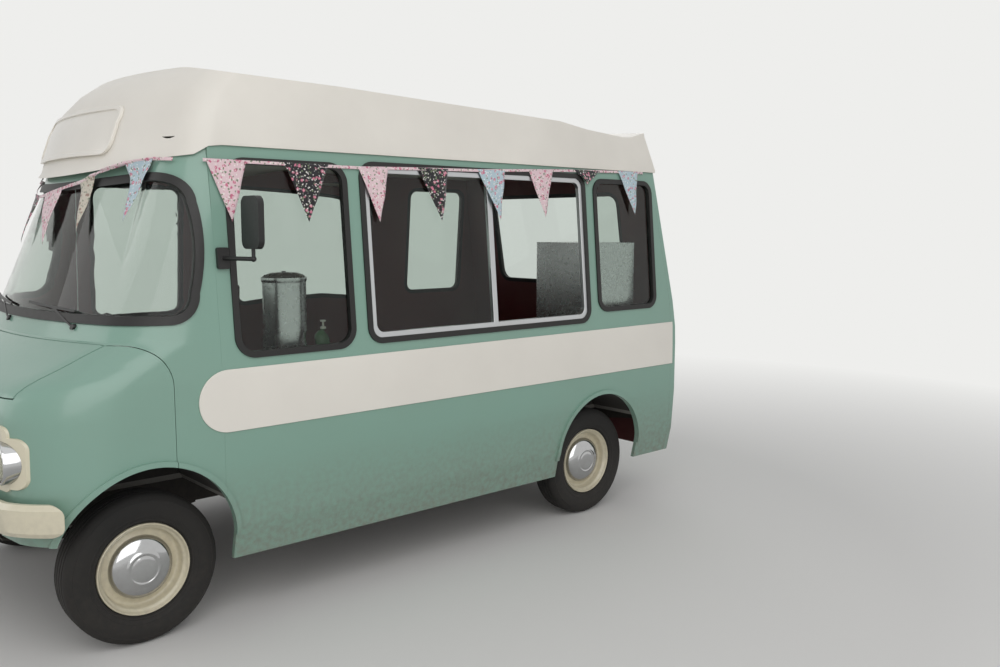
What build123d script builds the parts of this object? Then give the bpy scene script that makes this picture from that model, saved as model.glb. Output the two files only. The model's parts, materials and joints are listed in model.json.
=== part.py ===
from build123d import *
import math
import os

# Small coach-built ice cream van on a short-bonnet chassis. Millimetres.
# The front faces -Y, +X is the serving side, +Z is up and the ground is z = 0.
# Lengths along Y are given from the point midway between the axles.
# The finished part is moved by AXLE_MID_Y, so that its overall length is centred on y = 0.

# Driving dimensions
WHEELBASE = 2692.0
FRONT_OVERHANG = 539.0
REAR_OVERHANG = 684.0
FRONT_BUMPER_REACH = 57.0
REAR_BUMPER_REACH = 75.0
BODY_HALF_WIDTH = 985.0
SILL_Z = 300.0
WAIST_Z = 1270.0
ROOF_JOINT_Z = 2083.0
SKIN = 22.0
DOOR_GAP = 5.0
SEAM = 0.4
PIN_GAP = 0.3

FRONT_AXLE_Y = -WHEELBASE / 2
REAR_AXLE_Y = WHEELBASE / 2
NOSE_Y = FRONT_AXLE_Y - FRONT_OVERHANG
BODY_REAR_Y = REAR_AXLE_Y + REAR_OVERHANG
AXLE_MID_Y = (FRONT_OVERHANG + FRONT_BUMPER_REACH - REAR_OVERHANG - REAR_BUMPER_REACH) / 2

# Wheels and tyres
TYRE_RADIUS = 320.0
TYRE_WIDTH = 172.0
RIM_RADIUS = 195.0
WHEEL_X = BODY_HALF_WIDTH - 195
FRONT_ARCH_Z = TYRE_RADIUS + 96
FRONT_ARCH_RADIUS = TYRE_RADIUS + 39
REAR_ARCH_Z = TYRE_RADIUS + 80
REAR_ARCH_RADIUS = TYRE_RADIUS + 30
ARCH_LIP = 22.0
ARCH_LIP_PROUD = 12.0
KINGPIN_X = WHEEL_X - 135
KINGPIN_RADIUS = 14.0

# Chassis
RAIL_X = 380.0
RAIL_WIDTH = 70.0
RAIL_LOW_Z = 430.0
RAIL_HIGH_Z = 550.0
RAIL_FRONT_Y = NOSE_Y + 135
RAIL_REAR_Y = BODY_REAR_Y - 40
FLOOR_LOW_Z = RAIL_HIGH_Z + 30
FLOOR_THICK = 24.0
FLOOR_Z = FLOOR_LOW_Z + FLOOR_THICK

# Side and rear walls, at rising heights
# columns: z, half width, rear face
WALL_ROWS = [
    (SILL_Z, BODY_HALF_WIDTH - 50, BODY_REAR_Y),
    (SILL_Z + 150, BODY_HALF_WIDTH - 17, BODY_REAR_Y),
    (SILL_Z + 400, BODY_HALF_WIDTH, BODY_REAR_Y),
    (WAIST_Z - 270, BODY_HALF_WIDTH, BODY_REAR_Y),
    (WAIST_Z - 160, BODY_HALF_WIDTH - 1, BODY_REAR_Y - 4),
    (WAIST_Z - 90, BODY_HALF_WIDTH - 7, BODY_REAR_Y - 10),
    (WAIST_Z, BODY_HALF_WIDTH - 13, BODY_REAR_Y - 20),
    (ROOF_JOINT_Z - 153, BODY_HALF_WIDTH - 71, BODY_REAR_Y - 135),
    (ROOF_JOINT_Z, BODY_HALF_WIDTH - 85, BODY_REAR_Y - 162),
]

# The cab's front in plan, at rising heights. The side runs forwards to side_back behind the nose,
# bends round a corner to the shoulder, and the front is one shallow arc between the shoulders.
# columns: z, side_back, shoulder in from BODY_HALF_WIDTH, shoulder_back, front_back
NOSE_ROWS = [
    (SILL_Z, 395, 245, 150, 85),
    (SILL_Z + 150, 395, 225, 105, 45),
    (SILL_Z + 400, 405, 210, 80, 5),
    (WAIST_Z - 270, 435, 235, 65, 0),
    (WAIST_Z - 210, 455, 252, 73, 6),
    (WAIST_Z - 175, 472, 263, 92, 20),
    (WAIST_Z - 150, 492, 267, 122, 45),
    (WAIST_Z - 125, 523, 258, 168, 82),
    (WAIST_Z - 90, 595, 235, 245, 135),
    (WAIST_Z - 45, 665, 210, 335, 203),
    (WAIST_Z, 745, 180, 435, 275),
    (ROOF_JOINT_Z - 153, 900, 345, 680, 530),
    (ROOF_JOINT_Z, 925, 365, 735, 590),
]

# Side windows, as rounded rectangles seen from the side
# columns: name, y0, y1, z0, z1, corner radius, sides that have it
WINDOW_ROWS = [
    ("cab", NOSE_Y + 915, NOSE_Y + 1513, WAIST_Z - 92, ROOF_JOINT_Z - 61, 92, (1,)),
    ("serving", NOSE_Y + 1583, BODY_REAR_Y - 794, WAIST_Z - 84, ROOF_JOINT_Z - 47, 78, (1,)),
    ("rear_side", BODY_REAR_Y - 724, BODY_REAR_Y - 192, WAIST_Z - 30, ROOF_JOINT_Z - 69, 78, (1, -1)),
    ("off_side", NOSE_Y + 1825, BODY_REAR_Y - 1030, WAIST_Z - 30, ROOF_JOINT_Z - 69, 78, (-1,)),
]
SEAL_WIDTH = 24.0
SEAL_PROUD = 7.0
GLASS_DEPTH = 8.0
GLASS_THICK = 5.0
DOOR = dict(y0=NOSE_Y + 885, y1=NOSE_Y + 1595, z0=SILL_Z + 340, z1=ROOF_JOINT_Z - 33, corner=80)
DOOR_WINDOW = dict(y0=NOSE_Y + 960, y1=NOSE_Y + 1513, z0=WAIST_Z - 80, z1=ROOF_JOINT_Z - 108, corner=80)
SERVING_RAIL = 26.0
WINDSCREEN = dict(low_z=WAIST_Z + 69, high_z=ROOF_JOINT_Z - 128, corner_y=NOSE_Y + 670,
                  low_corner_y=NOSE_Y + 649, corner=122, deep_y=NOSE_Y + 805, brow_fall=0.2)
BACK_WINDOW = dict(half=BODY_HALF_WIDTH - 365, z0=WAIST_Z + 60, z1=ROOF_JOINT_Z - 123, corner=90)

# White bands along the sides
BAND_FRONT_Y = NOSE_Y + 741
BAND_LOW_Z = WAIST_Z - 398
BAND_HIGH_Z = WAIST_Z - 132
BAND_THICK = 7.0

# Seams between the body's panels
FORM_BACK_Y = NOSE_Y + 985
PILLAR_SEAM_Y = NOSE_Y + 850
WING_SEAM_Y = NOSE_Y + 643
WING_SEAM_RADIUS = 170.0
WING_GAP = 2.4
NOSE_HALF = BODY_HALF_WIDTH - 385
NOSE_LOW_Z = SILL_Z + 262
WING_LOW_Z = SILL_Z + 205
REAR_SEAM = 34.0
FAR = 1800.0
AHEAD_Y = NOSE_Y - 400
BEHIND_Y = BODY_REAR_Y + 400

# Bonnet in plan: side seams that open towards the rear, and a rear seam parallel to the waist's arc
BONNET_FRONT_HALF = BODY_HALF_WIDTH - 295
BONNET_REAR_HALF = BODY_HALF_WIDTH - 158
BONNET_LOW_Z = WAIST_Z - 195
BONNET_SEAM_AHEAD = 10.0
BONNET_SIDE_GAP = 8.0

# Bonnet hinges: a cranked arm on the bonnet turns on a pin behind the scuttle
BONNET_HINGE_Y = NOSE_Y + 445
BONNET_HINGE_Z = WAIST_Z + 5
BONNET_HINGE_X = 500.0
BONNET_PIN_RADIUS = 6.0
BONNET_ARM_WIDTH = 8.0

# Door hinges: straps outside the panels, with the pin between them
DOOR_HINGE_X = BODY_HALF_WIDTH + 12
DOOR_HINGE_Y = DOOR["y0"]
DOOR_HINGE_HEIGHTS = (DOOR["z0"] + 120, WAIST_Z - 90)
DOOR_HINGE_RADIUS = 9.0
DOOR_PIN_RADIUS = 4.0
STRAP_HEIGHT = 34.0

# Lamps and grille in the front panel
LAMP_X = BODY_HALF_WIDTH - 235
LAMP_Z = 832.0
LAMP_RADIUS = 84.0
BEZEL_HALF = 100.0
BEZEL_CORNER = 46.0
GRILLE_HALF = LAMP_X - 208
GRILLE_LOW_Z = LAMP_Z - 115
GRILLE_HIGH_Z = LAMP_Z + 144
GRILLE_BARS = 6
GRILLE_RIM = 22.0
# Cream panel behind each lamp, from its inner to its outer end
LAMP_PANEL_X = (LAMP_X - 124, LAMP_X + 30)

# Roof moulding, at stations along the body
# columns: y, side edge above the joint, crown above the side edge
ROOF_ROWS = [
    (NOSE_Y + 435, 303, 80),
    (NOSE_Y + 1535, 291, 80),
    (BODY_REAR_Y - 939, 247, 76),
    (BODY_REAR_Y - 712, 216, 72),
    (BODY_REAR_Y - 390, 193, 64),
    (BODY_REAR_Y - 320, 197, 54),
    (BODY_REAR_Y - 200, 229, 30),
    (BODY_REAR_Y - 80, 256, 12),
]
ROOF_SKIRT_X = BODY_HALF_WIDTH - 73
ROOF_EDGE_X = BODY_HALF_WIDTH - 133
ROOF_WALL = 14.0
HEADER_LIP_Y = NOSE_Y + 510
HEADER_LIP_Z = ROOF_JOINT_Z - 136
HEADER_PLAN_RADIUS = 1850.0
HEADER_CORNER_RADIUS = 170.0
HATCH_RISE = 13.0
HATCH_HALF = 450.0
HATCH_Y = (NOSE_Y + 980, NOSE_Y + 1460)
# How far the header leans back as it rises
# columns: above the roof joint, behind the lip
HEADER_ROWS = [(-140, 0), (-126, 0), (-86, 28), (0, 52), (95, 85), (200, 140), (285, 220), (342, 300),
               (378, 560), (400, 720), (440, 1000)]
# The header's lower edge, which rises towards the sides
# columns: behind the lip, below the roof joint
LIP_ROWS = [(0, 128), (78, 106), (125, 87), (195, 69), (290, 55), (345, 20)]

# Name board that follows the header
SIGN_HALF = 476.0
SIGN_LOW_Z = ROOF_JOINT_Z - 44
SIGN_HIGH_Z = ROOF_JOINT_Z + 174
SIGN_CORNER = 62.0
SIGN_RIM = 18.0
SIGN_THICK = 9.0
SIGN_RIM_THICK = 17.0

# Door mirrors
MIRROR_ARM_Z = WAIST_Z + 332
MIRROR_X = BODY_HALF_WIDTH + 125
MIRROR_HEAD = (75.0, 107.5, 26.0)

# Bumpers
FRONT_BUMPER_LOW_Z = 562.0
FRONT_BUMPER_HIGH_Z = 690.0
REAR_BUMPER_LOW_Z = 440.0
REAR_BUMPER_HIGH_Z = 560.0

# Power unit under the cover in the cab
ENGINE_HALF = 200.0
ENGINE_FRONT_Y = NOSE_Y + 185
ENGINE_REAR_Y = NOSE_Y + 885
BULKHEAD_Y = NOSE_Y + 485
FRONT_BOX_X = RAIL_X + 120
REAR_BOX_X = WHEEL_X - 150
TUB_HALF = 300.0
TUB_REAR_Y = NOSE_Y + 985
TUB_TOP_Z = 1010.0
PANEL_THICK = 12.0

# Axles, springs and outriggers
SPRING_HALF_LENGTH = 420.0
SPRING_LEAVES = 4
LEAF_THICK = 9.0
SPRING_HALF_WIDTH = 30.0
HUB_Z = TYRE_RADIUS
OUTRIGGER_X = BODY_HALF_WIDTH - 105
OUTRIGGER_YS = (FRONT_AXLE_Y + 546, 0, REAR_AXLE_Y - 546, BODY_REAR_Y - 180)
JACK_PAD_Y = FRONT_AXLE_Y + 646
DISC_RADIUS = RIM_RADIUS - 95
DRUM_RADIUS = RIM_RADIUS - 65
AXLE_END = 30.0

# Exhaust and fuel tank
PIPE_X = -180.0
PIPE_Z = 395.0
PIPE_RADIUS = 22.0

# Counter along the serving side
COUNTER_Z = 1100.0
COUNTER_INNER_X = BODY_HALF_WIDTH - 555
SEAT_X = BODY_HALF_WIDTH - 505

# Bunting
# columns: front corner, rear corner and tip behind the nose, height below the roof joint, drop
SIDE_FLAGS = [(835, 1019, 933, 71, 258), (1195, 1419, 1299, 71, 258), (1576, 1748, 1680, 71, 258),
              (1922, 2114, 2053, 61, 258), (2308, 2501, 2443, 53, 258), (2673, 2862, 2777, 37, 258),
              (3035, 3243, 3130, 24, 80), (3415, 3596, 3545, 15, 258)]
# columns: left corner, right corner and tip
FRONT_FLAGS = [(-700, -470, -610), (-210, 40, -170), (330, 580, 350), (640, 820, 700)]
FRONT_FLAG_TOP_Z = ROOF_JOINT_Z - 139
FLAG_DROP = 258.0
TAPE_WIDTH = 14.0
CLOTH_INSETS = (-9.8, -7.4)

os.makedirs("parts", exist_ok=True)
PARTS = {}


def keep(name, *shapes):
    """Move one sub-part's solids into the frame and write them as one file."""
    solids = [s for shape in shapes for s in shape.solids()]
    placed = [Pos(0, AXLE_MID_Y, 0) * s for s in solids]
    whole = placed[0] if len(placed) == 1 else Compound(children=placed)
    export_step(whole, os.path.join("parts", name + ".step"))
    PARTS[name] = len(placed)


def block(x0, x1, y0, y1, z0, z1):
    """A box between two opposite corners."""
    middle = Pos((x0 + x1) / 2, (y0 + y1) / 2, (z0 + z1) / 2)
    return middle * Box(abs(x1 - x0), abs(y1 - y0), abs(z1 - z0))


def side_cut(sketch, x0, x1):
    """A side-view sketch, drawn in Y and Z, as a prism along X."""
    return extrude(Plane.YZ.offset(x0) * sketch, amount=x1 - x0)


def plan_cut(sketch, z0, z1):
    """A plan sketch, drawn in X and Y, as a prism along Z."""
    return extrude(Plane.XY.offset(z0) * sketch, amount=z1 - z0)


def front_cut(sketch, y0, y1):
    """A front-view sketch, drawn in X and Z, as a prism along Y."""
    return extrude(Plane.XZ.offset(-y1) * sketch, amount=y1 - y0)


def rounded(u0, u1, v0, v1, corner):
    """A rounded rectangle from its lowest to its highest corner."""
    sheet = RectangleRounded(u1 - u0, v1 - v0, corner)
    return Pos((u0 + u1) / 2, (v0 + v1) / 2) * sheet


def polygon(*points):
    """A face with straight edges."""
    return make_face(Polyline(*points, close=True))


def rod(start, end, radius):
    """A round bar from one point to another."""
    path = Vector(*end) - Vector(*start)
    seat = Plane(origin=start, z_dir=path)
    return seat * Cylinder(radius, path.length, align=(Align.CENTER, Align.CENTER, Align.MIN))


def across(shape):
    """The mirror image on the other side of the centre line."""
    return mirror(shape, about=Plane.YZ)


def at_height(rows, column, z):
    """A column of a table at a height between its rows."""
    if z <= rows[0][0]:
        return rows[0][column]
    for low, high in zip(rows, rows[1:]):
        if low[0] <= z <= high[0]:
            share = (z - low[0]) / (high[0] - low[0])
            return low[column] + (high[column] - low[column]) * share
    return rows[-1][column]


def half_width_at(z):
    """Half of the body's width at a height."""
    return at_height(WALL_ROWS, 1, z)


def rear_y_at(z):
    """Where the rear face of the body is at a height."""
    return at_height(WALL_ROWS, 2, z)


def plan_outline(row, inset, back_y, z=None):
    """Plan outline of the cab's front, moved inwards by inset and closed at back_y."""
    row_z, side_back, shoulder_in, shoulder_back, front_back = row
    z = row_z if z is None else z
    width = half_width_at(row_z) - inset
    side_y = NOSE_Y + side_back
    shoulder = (BODY_HALF_WIDTH - shoulder_in - 0.6 * inset, NOSE_Y + shoulder_back + 0.8 * inset)
    bend = Edge.make_tangent_arc((width, side_y, z), (0, -1, 0), (*shoulder, z))
    middle = bend @ 0.5
    far_shoulder = (-shoulder[0], shoulder[1], z)
    brow = Edge.make_three_point_arc((*shoulder, z), (0, NOSE_Y + front_back + inset, z), far_shoulder)
    far_bend = Edge.make_three_point_arc(far_shoulder, (-middle.X, middle.Y, z), (-width, side_y, z))
    return Wire([
        Edge.make_line((width, back_y, z), (width, side_y, z)), bend, brow, far_bend,
        Edge.make_line((-width, side_y, z), (-width, back_y, z)),
        Edge.make_line((-width, back_y, z), (width, back_y, z))])


def front_form(inset, past=0.0):
    """The cab's front as a solid, moved inwards by inset, and past the panels at its other faces."""
    rows = list(NOSE_ROWS)
    if past:
        rows = [(rows[0][0] - past, *rows[0][1:])] + rows + [(rows[-1][0] + past, *rows[-1][1:])]
    return Solid.make_loft([plan_outline(row, inset, FORM_BACK_Y + past) for row in rows], True)


def front_layer(outer_inset, inner_inset):
    """A shell that follows the cab's front, between two insets."""
    return front_form(outer_inset) - front_form(inner_inset, past=40)


def side_layer(outer_inset, inner_inset, y0=NOSE_Y + 385, y1=BEHIND_Y):
    """The serving side's wall between two insets, as a prism along the body."""
    outer = [(wide - outer_inset, z) for z, wide, rear in WALL_ROWS]
    inner = [(wide - inner_inset, z) for z, wide, rear in reversed(WALL_ROWS)]
    return front_cut(polygon(*outer, *inner), y0, y1)


def rear_layer(outer_inset, inner_inset):
    """The rear wall between two insets, inside the same inset of the sides."""
    outer = [(rear - outer_inset, z) for z, wide, rear in WALL_ROWS]
    inner = [(rear - inner_inset, z) for z, wide, rear in reversed(WALL_ROWS)]
    right = [(wide - outer_inset, z) for z, wide, rear in WALL_ROWS]
    left = [(-x, z) for x, z in reversed(right)]
    walls = front_cut(polygon(*right, *left), BODY_REAR_Y - 530, BEHIND_Y)
    return side_cut(polygon(*outer, *inner), -FAR, FAR) & walls


def rear_slab(depth):
    """Everything behind a plane that leans with the rear face, depth in front of it."""
    low, high = SILL_Z - 50, ROOF_JOINT_Z + 50
    return side_cut(polygon((rear_y_at(SILL_Z) - depth, low), (rear_y_at(WAIST_Z) - depth, WAIST_Z),
                            (rear_y_at(ROOF_JOINT_Z) - depth, high), (BEHIND_Y, high), (BEHIND_Y, low)),
                    -FAR, FAR)


def arch_sketch(y, z, radius):
    """Side view of a wheel arch: a bow with straight sides below its centre."""
    return Pos(y, z) * Circle(radius) + rounded(y - radius, y + radius, SILL_Z - 120, z, 1)


def arch_prism(y, z, radius):
    """The opening of one pair of wheel arches, right across the body."""
    return side_cut(arch_sketch(y, z, radius), -FAR, FAR)


def arch_ring(y, z, radius):
    """The strip round an arch that its rolled lip covers."""
    ring = Pos(y, z) * (Circle(radius + ARCH_LIP) - Circle(radius - 5))
    return side_cut(ring & rounded(y - 500, y + 500, z, z + 500, 1), -FAR, FAR)


# centre along the van, centre's height, radius
FRONT_BOW = (FRONT_AXLE_Y, FRONT_ARCH_Z, FRONT_ARCH_RADIUS)
REAR_BOW = (REAR_AXLE_Y, REAR_ARCH_Z, REAR_ARCH_RADIUS)
FRONT_ARCH, FRONT_RING = arch_prism(*FRONT_BOW), arch_ring(*FRONT_BOW)
REAR_ARCH, REAR_RING = arch_prism(*REAR_BOW), arch_ring(*REAR_BOW)
SHELL = front_layer(0, SKIN) + (front_layer(-ARCH_LIP_PROUD, 4) & FRONT_RING)
SEAL_LAYER = front_layer(-SEAL_PROUD, SKIN - 2)
GLASS_LAYER = front_layer(GLASS_DEPTH, GLASS_DEPTH + GLASS_THICK)


def waist_arc_y(x):
    """How far forward the waist line is at a distance from the centre line."""
    row = next(row for row in NOSE_ROWS if row[0] == WAIST_Z)
    half, sag = BODY_HALF_WIDTH - row[2], row[3] - row[4]
    radius = (half ** 2 + sag ** 2) / (2 * sag)
    return NOSE_Y + row[4] + radius - math.sqrt(radius ** 2 - x ** 2)


def bonnet_seam(half, ahead):
    """Rear seam of the bonnet: an arc parallel to the waist line, ahead of it."""
    return ThreePointArc((half, waist_arc_y(half) - ahead), (0, waist_arc_y(0) - ahead),
                         (-half, waist_arc_y(half) - ahead))


def bonnet_prism(side_gap, rear_gap):
    """What lies inside the bonnet's seams, less a gap along them."""
    front, rear = BONNET_FRONT_HALF - side_gap, BONNET_REAR_HALF - side_gap
    seam = bonnet_seam(rear, BONNET_SEAM_AHEAD + rear_gap)
    start, end = seam @ 0, seam @ 1
    outline = make_face([
        seam, Line((end.X, end.Y), (-front, AHEAD_Y)), Line((-front, AHEAD_Y), (front, AHEAD_Y)),
        Line((front, AHEAD_Y), (start.X, start.Y))])
    return plan_cut(outline, BONNET_LOW_Z + rear_gap, WAIST_Z + 40)


def wing_prism(gap):
    """What lies ahead of the wings' rear seam, less a gap, without the scuttle behind the bonnet."""
    y, z, radius = WING_SEAM_Y - gap, WAIST_Z - 8 - gap, WING_SEAM_RADIUS
    part = radius * math.sqrt(0.5)
    profile = make_face([
        Line((AHEAD_Y, z), (y - radius, z)),
        ThreePointArc((y - radius, z), (y - radius + part, z - radius + part), (y, z - radius)),
        Line((y, z - radius), (y, WING_LOW_Z)), Line((y, WING_LOW_Z), (AHEAD_Y, WING_LOW_Z)),
        Line((AHEAD_Y, WING_LOW_Z), (AHEAD_Y, z))])
    half = BONNET_REAR_HALF
    seam = bonnet_seam(half, BONNET_SEAM_AHEAD)
    back = PILLAR_SEAM_Y
    scuttle = make_face([
        seam, Line((-half, (seam @ 1).Y), (-half, back)), Line((-half, back), (half, back)),
        Line((half, back), (half, (seam @ 0).Y))])
    return side_cut(profile, -FAR, FAR) - plan_cut(scuttle, WAIST_Z - 34, WAIST_Z + 40)


def windscreen_side(inset):
    """Side view of the windscreen opening, which wraps round on to the body's sides."""
    shape = WINDSCREEN
    low, high, radius = shape["low_z"] + inset, shape["high_z"] - inset, shape["corner"] - inset
    deep, part = shape["deep_y"] - inset, radius * math.sqrt(0.5)
    top_y, low_y, front = shape["corner_y"], shape["low_corner_y"], NOSE_Y + 85
    back = min(top_y + radius, deep - 8)
    upper, lower = (back, high - radius), (low_y + radius, low + radius)
    brow = high - shape["brow_fall"] * (top_y - front)
    return make_face([
        Line((front, brow), (top_y, high)),
        ThreePointArc((top_y, high), (top_y + part, high - radius + part), upper),
        ThreePointArc(upper, (deep, (upper[1] + lower[1]) / 2 + 20), lower),
        ThreePointArc(lower, (low_y + part, low + radius - part), (low_y, low)),
        Line((low_y, low), (front, low)), Line((front, low), (front, brow))])


def bezel_prism(gap):
    """Outline of a rounded square round each headlamp with the panel behind it, grown by a gap."""
    half, (inner, outer) = BEZEL_HALF + gap, LAMP_PANEL_X
    outline = rounded(LAMP_X - half, LAMP_X + half, LAMP_Z - half, LAMP_Z + half, BEZEL_CORNER)
    outline = outline + rounded(inner - gap, outer + gap, GRILLE_LOW_Z - gap, GRILLE_HIGH_Z + gap, 34)
    prism = front_cut(outline, AHEAD_Y, NOSE_Y + 325)
    return prism + across(prism)


def bonnet_arm(side):
    """Cranked hinge arm, from the bonnet's underside back below the scuttle and up to the pin."""
    y, z = BONNET_HINGE_Y, BONNET_HINGE_Z
    crank = polygon((y + 12, z), (y + 12, z - 121), (y - 190, z - 121), (y - 190, z - 58), (y - 150, z - 35),
                    (y - 150, z - 105), (y - 12, z - 105), (y - 12, z))
    crank = crank + Pos(y, z) * Circle(12) - Pos(y, z) * Circle(BONNET_PIN_RADIUS + PIN_GAP)
    middle = side * BONNET_HINGE_X
    return side_cut(crank, middle - BONNET_ARM_WIDTH / 2, middle + BONNET_ARM_WIDTH / 2)


def bonnet_bracket(side):
    """Bracket behind the scuttle with the pin of one bonnet hinge."""
    y, z = BONNET_HINGE_Y, BONNET_HINGE_Z
    x = side * (BONNET_HINGE_X + BONNET_ARM_WIDTH + 4)
    ear = polygon((y - 92, z + 20), (y + 12, z + 12), (y + 12, z - 12), (y - 92, z - 8))
    pin = rod((x, y, z), (side * (BONNET_HINGE_X - BONNET_ARM_WIDTH), y, z), BONNET_PIN_RADIUS)
    return side_cut(ear, x - BONNET_ARM_WIDTH / 2, x + BONNET_ARM_WIDTH / 2) + pin


def nose_parts():
    """Front panel, wings, bonnet and grille."""
    keep("bonnet", (SHELL & bonnet_prism(BONNET_SIDE_GAP, DOOR_GAP)) + bonnet_arm(1) + bonnet_arm(-1))
    nose = (SHELL & wing_prism(WING_GAP)) - bonnet_prism(0, 0)
    nose = nose - FRONT_ARCH
    nose = nose - bezel_prism(SEAM)
    wing_zone = block(NOSE_HALF + SEAM, FAR, AHEAD_Y, WING_SEAM_Y, SILL_Z, WAIST_Z)
    keep("front_wings", nose & (wing_zone + across(wing_zone)))
    front_end = NOSE_Y + 385
    centre = nose & block(-NOSE_HALF, NOSE_HALF, AHEAD_Y, front_end, NOSE_LOW_Z, WAIST_Z)
    half, low, high, rim = GRILLE_HALF, GRILLE_LOW_Z, GRILLE_HIGH_Z, GRILLE_RIM
    keep("nose_panel", centre - front_cut(rounded(-half, half, low, high, 40), AHEAD_Y, front_end))

    outer = front_cut(rounded(-half + SEAM, half - SEAM, low + SEAM, high - SEAM, 40), AHEAD_Y, front_end)
    inner = front_cut(rounded(-half + rim, half - rim, low + rim, high - rim, rim), AHEAD_Y, front_end)
    ahead = block(-FAR, FAR, AHEAD_Y, front_end, SILL_Z + 200, WAIST_Z - 170)
    grille = (front_layer(-8, SKIN) & ahead & outer) - inner
    bar_layer = front_layer(2, 14) & ahead
    step = (high - low) / (GRILLE_BARS + 1)
    for index in range(GRILLE_BARS):
        z = low + step * (index + 1)
        bar = rounded(-half + rim / 2, half - rim / 2, z - 8, z + 8, 3)
        grille = grille + (bar_layer & front_cut(bar, AHEAD_Y, front_end))
    keep("grille", grille)

    lamp_holes = [front_cut(Pos(side * LAMP_X, LAMP_Z) * Circle(LAMP_RADIUS + SEAM), AHEAD_Y, front_end)
                  for side in (1, -1)]
    bezels = front_layer(-10, SKIN) & ahead & bezel_prism(0)
    keep("headlamp_bezels", bezels - lamp_holes[0] - lamp_holes[1])
    dome = Pos(0, 0, -190) * Sphere(210) & Pos(0, 0, 40) * Cylinder(LAMP_RADIUS, 80)
    lens = Cylinder(LAMP_RADIUS, 60) + Pos(0, 0, 30) * dome
    lens = Pos(LAMP_X, NOSE_Y + 85, LAMP_Z) * Rot(90, 0, 0) * lens
    keep("headlamps", lens, across(lens))


def cab_parts():
    """Windscreen surround with the scuttle, windscreen and its rubber."""
    zone = block(-FAR, FAR, AHEAD_Y, PILLAR_SEAM_Y - SEAM, SILL_Z, ROOF_JOINT_Z)
    surround = (SHELL & zone) - wing_prism(0) - bonnet_prism(0, 0)
    below = block(-FAR, FAR, AHEAD_Y, WING_SEAM_Y - 1, 0, WAIST_Z - 180)
    surround = surround - below - side_cut(windscreen_side(0), -FAR, FAR) - FRONT_ARCH
    keep("cab_front", surround + bonnet_bracket(1) + bonnet_bracket(-1))
    opening = side_cut(windscreen_side(SEAM), -FAR, FAR)
    sight = side_cut(windscreen_side(SEAL_WIDTH + 8), -FAR, FAR)
    glass_edge = side_cut(windscreen_side(SEAL_WIDTH + 8 + SEAM), -FAR, FAR)
    keep("windscreen_seal", (SEAL_LAYER & opening) - sight)
    keep("windscreen", GLASS_LAYER & glass_edge)


def framed_opening(y0, y1, z0, z1, corner):
    """Hole, rubber and pane of one rounded window, on the serving side."""
    hole = side_cut(rounded(y0, y1, z0, z1, corner), 0, FAR)
    edge = side_cut(rounded(y0 + SEAM, y1 - SEAM, z0 + SEAM, z1 - SEAM, corner), 0, FAR)
    y0, y1, z0, z1 = y0 + SEAL_WIDTH, y1 - SEAL_WIDTH, z0 + SEAL_WIDTH, z1 - SEAL_WIDTH
    corner = corner - SEAL_WIDTH
    sight = side_cut(rounded(y0, y1, z0, z1, corner), 0, FAR)
    pane = side_cut(rounded(y0 + SEAM, y1 - SEAM, z0 + SEAM, z1 - SEAM, corner), 0, FAR)
    seal = (side_layer(-SEAL_PROUD, SKIN - 2) & edge) - sight
    return hole, seal, side_layer(GLASS_DEPTH, GLASS_DEPTH + GLASS_THICK) & pane


def serving_window():
    """Aluminium frame with a middle post. Returns its closed front pane; the rear one is slid open."""
    name, y0, y1, z0, z1, corner, sides = WINDOW_ROWS[1]
    out = SEAL_WIDTH + SEAM
    rail = SERVING_RAIL
    y0, y1, z0, z1 = y0 + out, y1 - out, z0 + out, z1 - out
    corner = corner - SEAL_WIDTH
    outer = side_cut(rounded(y0, y1, z0, z1, corner), 0, FAR)
    inner = side_cut(rounded(y0 + rail, y1 - rail, z0 + rail, z1 - rail, corner - rail / 2), 0, FAR)
    middle = (y0 + y1) / 2 + 35
    half_post = 16
    post = side_cut(rounded(middle - half_post, middle + half_post, z0 + 4, z1 - 4, 2), 0, FAR)
    keep("serving_frame", side_layer(-3, SKIN) & (outer - (inner - post)))
    rail = rail + SEAM
    light = side_cut(rounded(y0 + rail, y1 - rail, z0 + rail, z1 - rail, corner - rail / 2), 0, FAR)
    return side_layer(4, 8) & (light & block(0, FAR, y0, middle - half_post - SEAM, z0, z1))


def door_hinge(z):
    """The body's half and the door's half of one hinge, drawn on the serving side."""
    x, y = DOOR_HINGE_X, DOOR_HINGE_Y
    root = BODY_HALF_WIDTH - 13
    barrel = Pos(x, y) * Circle(DOOR_HINGE_RADIUS)
    body_strap = polygon((x + 7, y), (x + 7, y - 32), (root, y - 32), (root, y - 6),
                         (x - 7, y - 4), (x - 7, y))
    door_strap = polygon((x + 7, y), (x + 7, y + 50), (root, y + 50), (root, y + 10),
                         (x - 7, y + 8), (x - 7, y))
    pin = plan_cut(Pos(x, y) * Circle(DOOR_PIN_RADIUS), z - STRAP_HEIGHT, z + 1)
    bore = Pos(x, y) * Circle(DOOR_PIN_RADIUS + PIN_GAP)
    return (plan_cut(barrel + body_strap, z, z + STRAP_HEIGHT) + pin,
            plan_cut(barrel + door_strap - bore, z - STRAP_HEIGHT, z - SEAM))


def door_handle():
    """Pull handle near the door's rear edge, drawn on the serving side."""
    x, y, z = BODY_HALF_WIDTH - 4, DOOR["y1"] - 60, BAND_LOW_Z - 42
    bar = block(x + 22, x + 34, y - 120, y, z - 10, z + 10)
    for foot in (y - 20, y - 120):
        bar = bar + block(x, x + 34, foot, foot + 20, z - 10, z + 10)
    return bar


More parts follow.
